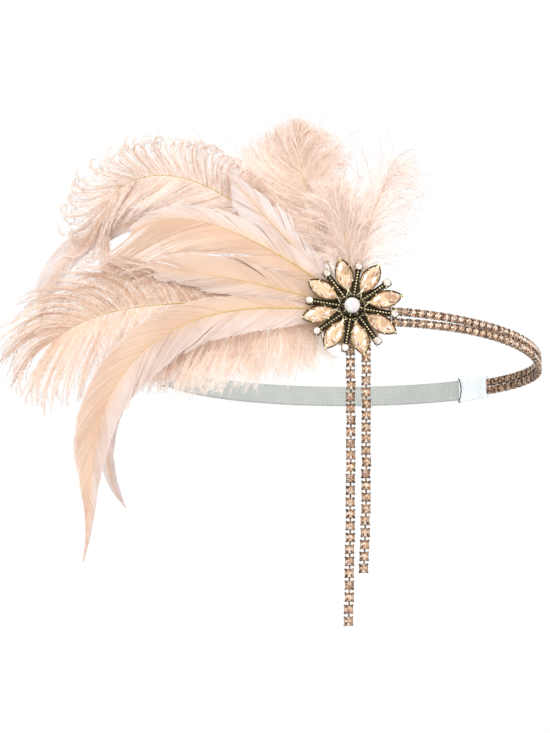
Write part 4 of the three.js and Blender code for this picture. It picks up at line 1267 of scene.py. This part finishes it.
class HEADBAND_OT_ostrich_plumes(bpy.types.Operator):
    """Makes the ostrich plumes and the marabou: quills, long barbs in locks, and their barbules"""
    bl_idname = "headband.ostrich_plumes"
    bl_label = "Ostrich Plumes and Marabou"

    def execute(self, context):
        feathers = context.scene.headband_feathers
        for seed, (name, layer, length, headings, bare) in enumerate(PLUMES):
            chance = np.random.default_rng(300 + seed)
            quill = Quill(length, headings)
            whole = bmesh.new()
            fluff = bmesh.new()
            for side in (1, -1):
                for under in (True, False):
                    lines = self.side(quill, side, bare, name, under, chance)
                    self.grow(whole, fluff, lines, layer, name, under, feathers, chance)
            joined(whole, fluff, Matrix.Identity(4), 2)
            before = len(whole.faces)
            self.loose_hairs(whole, quill, layer, name, bare, chance)
            new_slot(whole, before, 3)
            fluff.free()
            quill_rod(whole, quill, layer, 0.5 * MM, 0.12 * MM, 0, 0.97, 1)
            piece = finish_piece(name + "_barbs", whole, self.looks(name, feathers), name)
        return {"FINISHED"}

    def looks(self, name, feathers):
        """The materials of a plume's barbs, quill, barbules and loose barbs."""
        warm, white, tip = (np.array(c) for c in (feathers.warm, feathers.white, feathers.tip))
        tint = FILLS[name].tint
        body = warm * (1 - tint) + white * tint
        core = warm * (0.9 - 0.7 * tint) + body * (0.1 + 0.7 * tint)
        if name in ("plume_upper", "plume_top"):
            core = core * 0.85 + white * 0.15
        end = white if name.startswith("marabou") else tip
        shaft = tuple(core) if name == "marabou_lower" else tuple(feathers.quill)
        return [
            barb_material(f"{name} barbs", core, body, end, 0.3, 0.6, 0.3),
            quill_material(shaft),
            barb_material(f"{name} barbules", body, body * 0.5 + white * 0.5, white * 0.85 + end * 0.15, 0.4, 0.7, 0.5),
            barb_material(f"{name} loose barbs", body, tip * 0.5 + body * 0.5, tip * 0.8 + body * 0.2, 0.3, 0.6, 0.3),
        ]

    def side(self, quill, side, bare, name, under, chance):
        """The lines of one side's barbs: they gather in locks, and each has its own reach and curl.

        Those under them are shorter, lie further back and fill the spaces between the locks; in the combed plumes they
        are painted darker, as painted shade beneath the top barbs.
        """
        fill = FILLS[name]
        form = SIDES[name][0 if side == 1 else 1]
        lock_count, loft = fill.locks, fill.loft
        count = form.under if under else fill.barbs
        pull = 0.0 if under else fill.pull
        scatter = fill.scatter * (1.6 if under else 1)
        t = (np.arange(count) + chance.uniform(0, 1, count)) / count
        end_share = form.root + (form.tip - form.root) * t
        longest = form.reach * MM * (0.84 if under else 1) * (end_share + (1 - end_share) * np.sin(np.pi * t))
        lock = np.minimum((t * lock_count).astype(int), lock_count - 1)
        shares = bare + (1 - bare) * t
        longest = np.minimum(longest, (1 - shares) * quill.length + fill.past * MM)
        lengths = longest * np.clip(chance.normal(0.97, 0.05, lock_count)[lock] * chance.normal(1, 0.06, count), 0.3, 1.1)
        angles = form.lean + (form.leaving - form.lean) * np.minimum(1, t * 2.5)
        angles = angles * (1 - 0.8 * t ** 3)
        angles = angles + chance.normal(0, scatter * 0.7, lock_count)[lock] + chance.normal(0, scatter, count)
        bends = form.bend * (1 - 0.2 * t ** 3) + chance.normal(0, scatter * 1.6, lock_count)[lock] + chance.normal(0, scatter * 1.5, count)
        hooks = form.hook * np.abs(chance.normal(1, 0.35, lock_count))[lock] + chance.normal(0, 20, count)
        px, py, heading = barb_lines(quill, shares, side, lengths, angles, bends, hooks, 12, form.fall * t ** 2)
        s = np.linspace(0, 1, 13)[None, :]
        grip = pull * np.minimum(1, s * 1.4) ** 2
        for k in range(lock_count):
            inside = lock == k
            if inside.any():
                px[inside] += (px[inside].mean(0) - px[inside]) * grip
                py[inside] += (py[inside].mean(0) - py[inside]) * grip
        ply = chance.normal(0, 0.3, lock_count)[lock] + chance.normal(0, 0.2, count)
        rise = loft * MM * (ply[:, None] * s ** 1.3 - 0.2 * s ** 3 - (0.12 * s ** 0.5 if under else 0))
        # Painted shade: in the combed plumes the barbs beneath are made much darker than those on top; in the others
        # they are a little lighter
        under_shade = -0.4 if fill.pull > 0.5 else 0.12
        return px, py, heading, rise, lengths, form.light + (under_shade if under else 0.1)

    def grow(self, whole, fluff, lines, layer, name, under, feathers, chance):
        """Ribbons along the barbs' lines, and barbules all along them."""
        px, py, heading, rise, lengths, light = lines
        count, stations = px.shape
        s = np.linspace(0, 1, stations)[None, :]
        taper = 0.5 * feathers.barb_width * (1 - 0.7 * s ** 2)
        roll = chance.uniform(-0.8, 0.8, count)[:, None]
        rails = ribbon_rails(px, py, heading, layer, np.zeros_like(px), rise, taper, roll)
        tones = np.clip(chance.normal(light, 0.18, count), 0, 1)
        weave(whole, rails, tones)
        longest, pitch = FILLS[name].barbule, FILLS[name].pitch
        each = np.maximum(4, (lengths / (pitch * MM)).astype(int))
        owner = np.repeat(np.arange(count), each)
        u = chance.uniform(0.0, 1.0, len(owner))
        x, y, angle, up = (self.along(table, owner, u) for table in (px, py, heading, rise + np.zeros_like(px)))
        for side in (1, -1):
            here = len(owner)
            reach = longest * MM * np.clip(chance.normal(0.85, 0.2, here), 0.3, 1.3) * (1 - 0.6 * u ** 3)
            leaving = chance.normal(36, 9, here)
            turnings = np.clip(chance.normal(-24, 12, here), -60, 20) * side
            lines = self.short_lines(x, y, angle, side * leaving, turnings, reach)
            lift = up[:, None] + np.array([0, 0.5, 1.0])[None, :] * chance.normal(0, 0.55, here)[:, None] * MM
            width = 0.5 * feathers.fluff_width * np.array([1.0, 0.8, 0.35])[None, :]
            roll = chance.uniform(-1.0, 1.0, here)[:, None]
            rails = ribbon_rails(*lines, layer, 0.0, lift, width, roll)
            if under:
                rails = rails[:, ::2]
            tone = np.clip(tones[owner] * 0.7 + chance.normal(0.15 + 0.1 * light, 0.12, here), 0, 1)
            weave(fluff, rails, tone, u * 0.9)

    def along(self, table, owner, u):
        """Values between the stations of each owner's line, at a share of it."""
        place = u * (table.shape[1] - 1)
        low = np.minimum(place.astype(int), table.shape[1] - 2)
        part = place - low
        return table[owner, low] * (1 - part) + table[owner, low + 1] * part

    def short_lines(self, x, y, angle, leaving, turnings, reach):
        """Lines of two steps from each root."""
        first = np.radians(angle + leaving)
        second = np.radians(angle + leaving + turnings)
        half = reach / 2
        px = np.stack([x, x + np.cos(first) * half, x + (np.cos(first) + np.cos(second)) * half], -1)
        py = np.stack([y, y + np.sin(first) * half, y + (np.sin(first) + np.sin(second)) * half], -1)
        heading = np.degrees(np.stack([first, (first + second) / 2, second], -1))
        return px, py, heading

    def loose_hairs(self, whole, quill, layer, name, bare, chance):
        """Long thin barbs that stray from the plume and curl."""
        fill = FILLS[name]
        for side, form in zip((1, -1), SIDES[name]):
            here = fill.hairs // 2
            t = chance.uniform(0, 1, here)
            shares = bare + (1 - bare) * t
            lengths = form.reach * MM * chance.uniform(0.75, 1.2, here) * (0.6 + 0.4 * np.sin(np.pi * t))
            lengths = np.minimum(lengths, (1 - shares) * quill.length + (fill.past + 4) * MM)
            angles = form.leaving + chance.normal(0, 14, here)
            bends = form.bend + chance.normal(0, 40, here)
            hooks = chance.normal(0, 120, here)
            px, py, heading = barb_lines(quill, shares, side, lengths, angles, bends, hooks, 12)
            s = np.linspace(0, 1, 13)[None, :]
            rise = fill.loft * MM * chance.normal(0, 0.7, here)[:, None] * s
            rails = ribbon_rails(px, py, heading, layer, np.zeros_like(px), rise, 0.1 * MM * (1 - 0.4 * s), 0.4)
            weave(whole, rails, chance.uniform(0.1, 0.6, here))


# Stage

def area_light(name, place, aim, size, power, colour=(1, 1, 1)):
    lamp = bpy.data.lights.new(name, "AREA")
    lamp.shape = "DISK"
    lamp.size = size
    lamp.energy = power
    lamp.color = colour
    holder = bpy.data.objects.new(name, lamp)
    bpy.context.scene.collection.objects.link(holder)
    holder.location = place
    holder.rotation_euler = (Vector(aim) - Vector(place)).to_track_quat("-Z", "Y").to_euler()


class HEADBAND_OT_studio(bpy.types.Operator):
    """Sets the pale floor, the backdrop, the soft lights and the camera"""
    bl_idname = "headband.studio"
    bl_label = "Studio"

    def execute(self, context):
        studio = context.scene.headband_studio
        scene = context.scene
        self.floor(studio)
        self.backdrop()
        scene.world = bpy.data.worlds.new("Pale surround")
        scene.world.use_nodes = True
        background = scene.world.node_tree.nodes["Background"]
        background.inputs["Color"].default_value = (1, 1, 1, 1)
        background.inputs["Strength"].default_value = studio.sky
        scene.view_settings.view_transform = "Standard"
        area_light("Key", (-0.7, -1.1, 0.9), (-0.03, -0.08, 0), 0.7, studio.key_power)
        area_light("Fill", (0.9, -1.0, -0.1), (0, -0.08, 0), 0.5, studio.fill_power)
        self.camera(scene)
        return {"FINISHED"}

    def floor(self, studio):
        part = disc(9.0, studio.floor_height - 0.02, studio.floor_height, 96)
        floor = self.stage_piece("studio_floor", part, paint("Pale floor", (0.86, 0.86, 0.86, 1), 0.8))

    def backdrop(self):
        """A white sheet of light behind the headband."""
        part = bmesh.new()
        place = Matrix.Translation((0, 4.0, 1.2)) @ Matrix.Rotation(math.pi / 2, 4, "X")
        bmesh.ops.create_grid(part, x_segments=2, y_segments=2, size=1.6, matrix=place)
        material, tree, shader = node_material("White backdrop")
        base = ramp(tree, object_noise(tree, 2, 2.0), [(0.3, (0.99, 0.99, 0.99, 1)), (0.7, (1, 1, 1, 1))])
        tree.links.new(base, shader.inputs["Emission Color"])
        shader.inputs["Base Color"].default_value = (0, 0, 0, 1)
        shader.inputs["Specular IOR Level"].default_value = 0.0
        shader.inputs["Emission Strength"].default_value = 1.02
        self.stage_piece("studio_backdrop", part, material)

    def stage_piece(self, name, part, material):
        mesh = bpy.data.meshes.new(name)
        part.to_mesh(mesh)
        part.free()
        mesh.materials.append(material)
        piece = bpy.data.objects.new(name, mesh)
        bpy.context.scene.collection.objects.link(piece)
        return piece

    def camera(self, scene):
        """Looks up at the loop from 16 degrees below it, along the brooch's axis."""
        tilt = math.radians(16)
        forward = Vector((0, math.cos(tilt), math.sin(tilt)))
        up = Vector((0, -math.sin(tilt), math.cos(tilt)))
        lens = bpy.data.cameras.new("Camera")
        lens.sensor_width = 36
        lens.lens = 36 * 3073.8 / 733
        lens.clip_end = 20
        holder = bpy.data.objects.new("Camera", lens)
        scene.collection.objects.link(holder)
        holder.location = Vector((-0.0352, 0, 0)) + up * 0.00034 - forward * 1.5
        holder.rotation_euler = forward.to_track_quat("-Z", "Y").to_euler()
        scene.camera = holder


class HEADBAND_PT_panel(bpy.types.Panel):
    """Lists the headband's pieces and its settings"""
    bl_idname = "HEADBAND_PT_panel"
    bl_label = "Headband"
    bl_space_type = "VIEW_3D"
    bl_region_type = "UI"
    bl_category = "Headband"

    def draw(self, context):
        for name in SETTINGS:
            settings = getattr(context.scene, name)
            column = self.layout.column()
            for key in settings.bl_rna.properties.keys():
                if key not in ("rna_type", "name"):
                    column.prop(settings, key)
        for operator in OPERATORS:
            self.layout.operator(operator.bl_idname)


SETTINGS = {
    "headband_feathers": FeatherSettings,
    "headband_chain": ChainSettings,
    "headband_brooch": BroochSettings,
    "headband_band": BandSettings,
    "headband_studio": StudioSettings,
}
OPERATORS = (
    HEADBAND_OT_studio,
    HEADBAND_OT_end_tabs,
    HEADBAND_OT_elastic_band,
    HEADBAND_OT_crystal_rows,
    HEADBAND_OT_hanging_strands,
    HEADBAND_OT_brooch_casting,
    HEADBAND_OT_brooch_stones,
    HEADBAND_OT_centre_pearl,
    HEADBAND_OT_feather_pad,
    HEADBAND_OT_goose_feathers,
    HEADBAND_OT_ostrich_plumes,
)


def register():
    for name, group in SETTINGS.items():
        bpy.utils.register_class(group)
        setattr(bpy.types.Scene, name, bpy.props.PointerProperty(type=group))
    for operator in OPERATORS:
        bpy.utils.register_class(operator)
    bpy.utils.register_class(HEADBAND_PT_panel)


def unregister():
    bpy.utils.unregister_class(HEADBAND_PT_panel)
    for operator in reversed(OPERATORS):
        bpy.utils.unregister_class(operator)
    for name, group in reversed(SETTINGS.items()):
        delattr(bpy.types.Scene, name)
        bpy.utils.unregister_class(group)


def main():
    register()
    for operator in OPERATORS:
        area, action = operator.bl_idname.split(".")
        getattr(getattr(bpy.ops, area), action)()


if __name__ == "__main__":
    main()
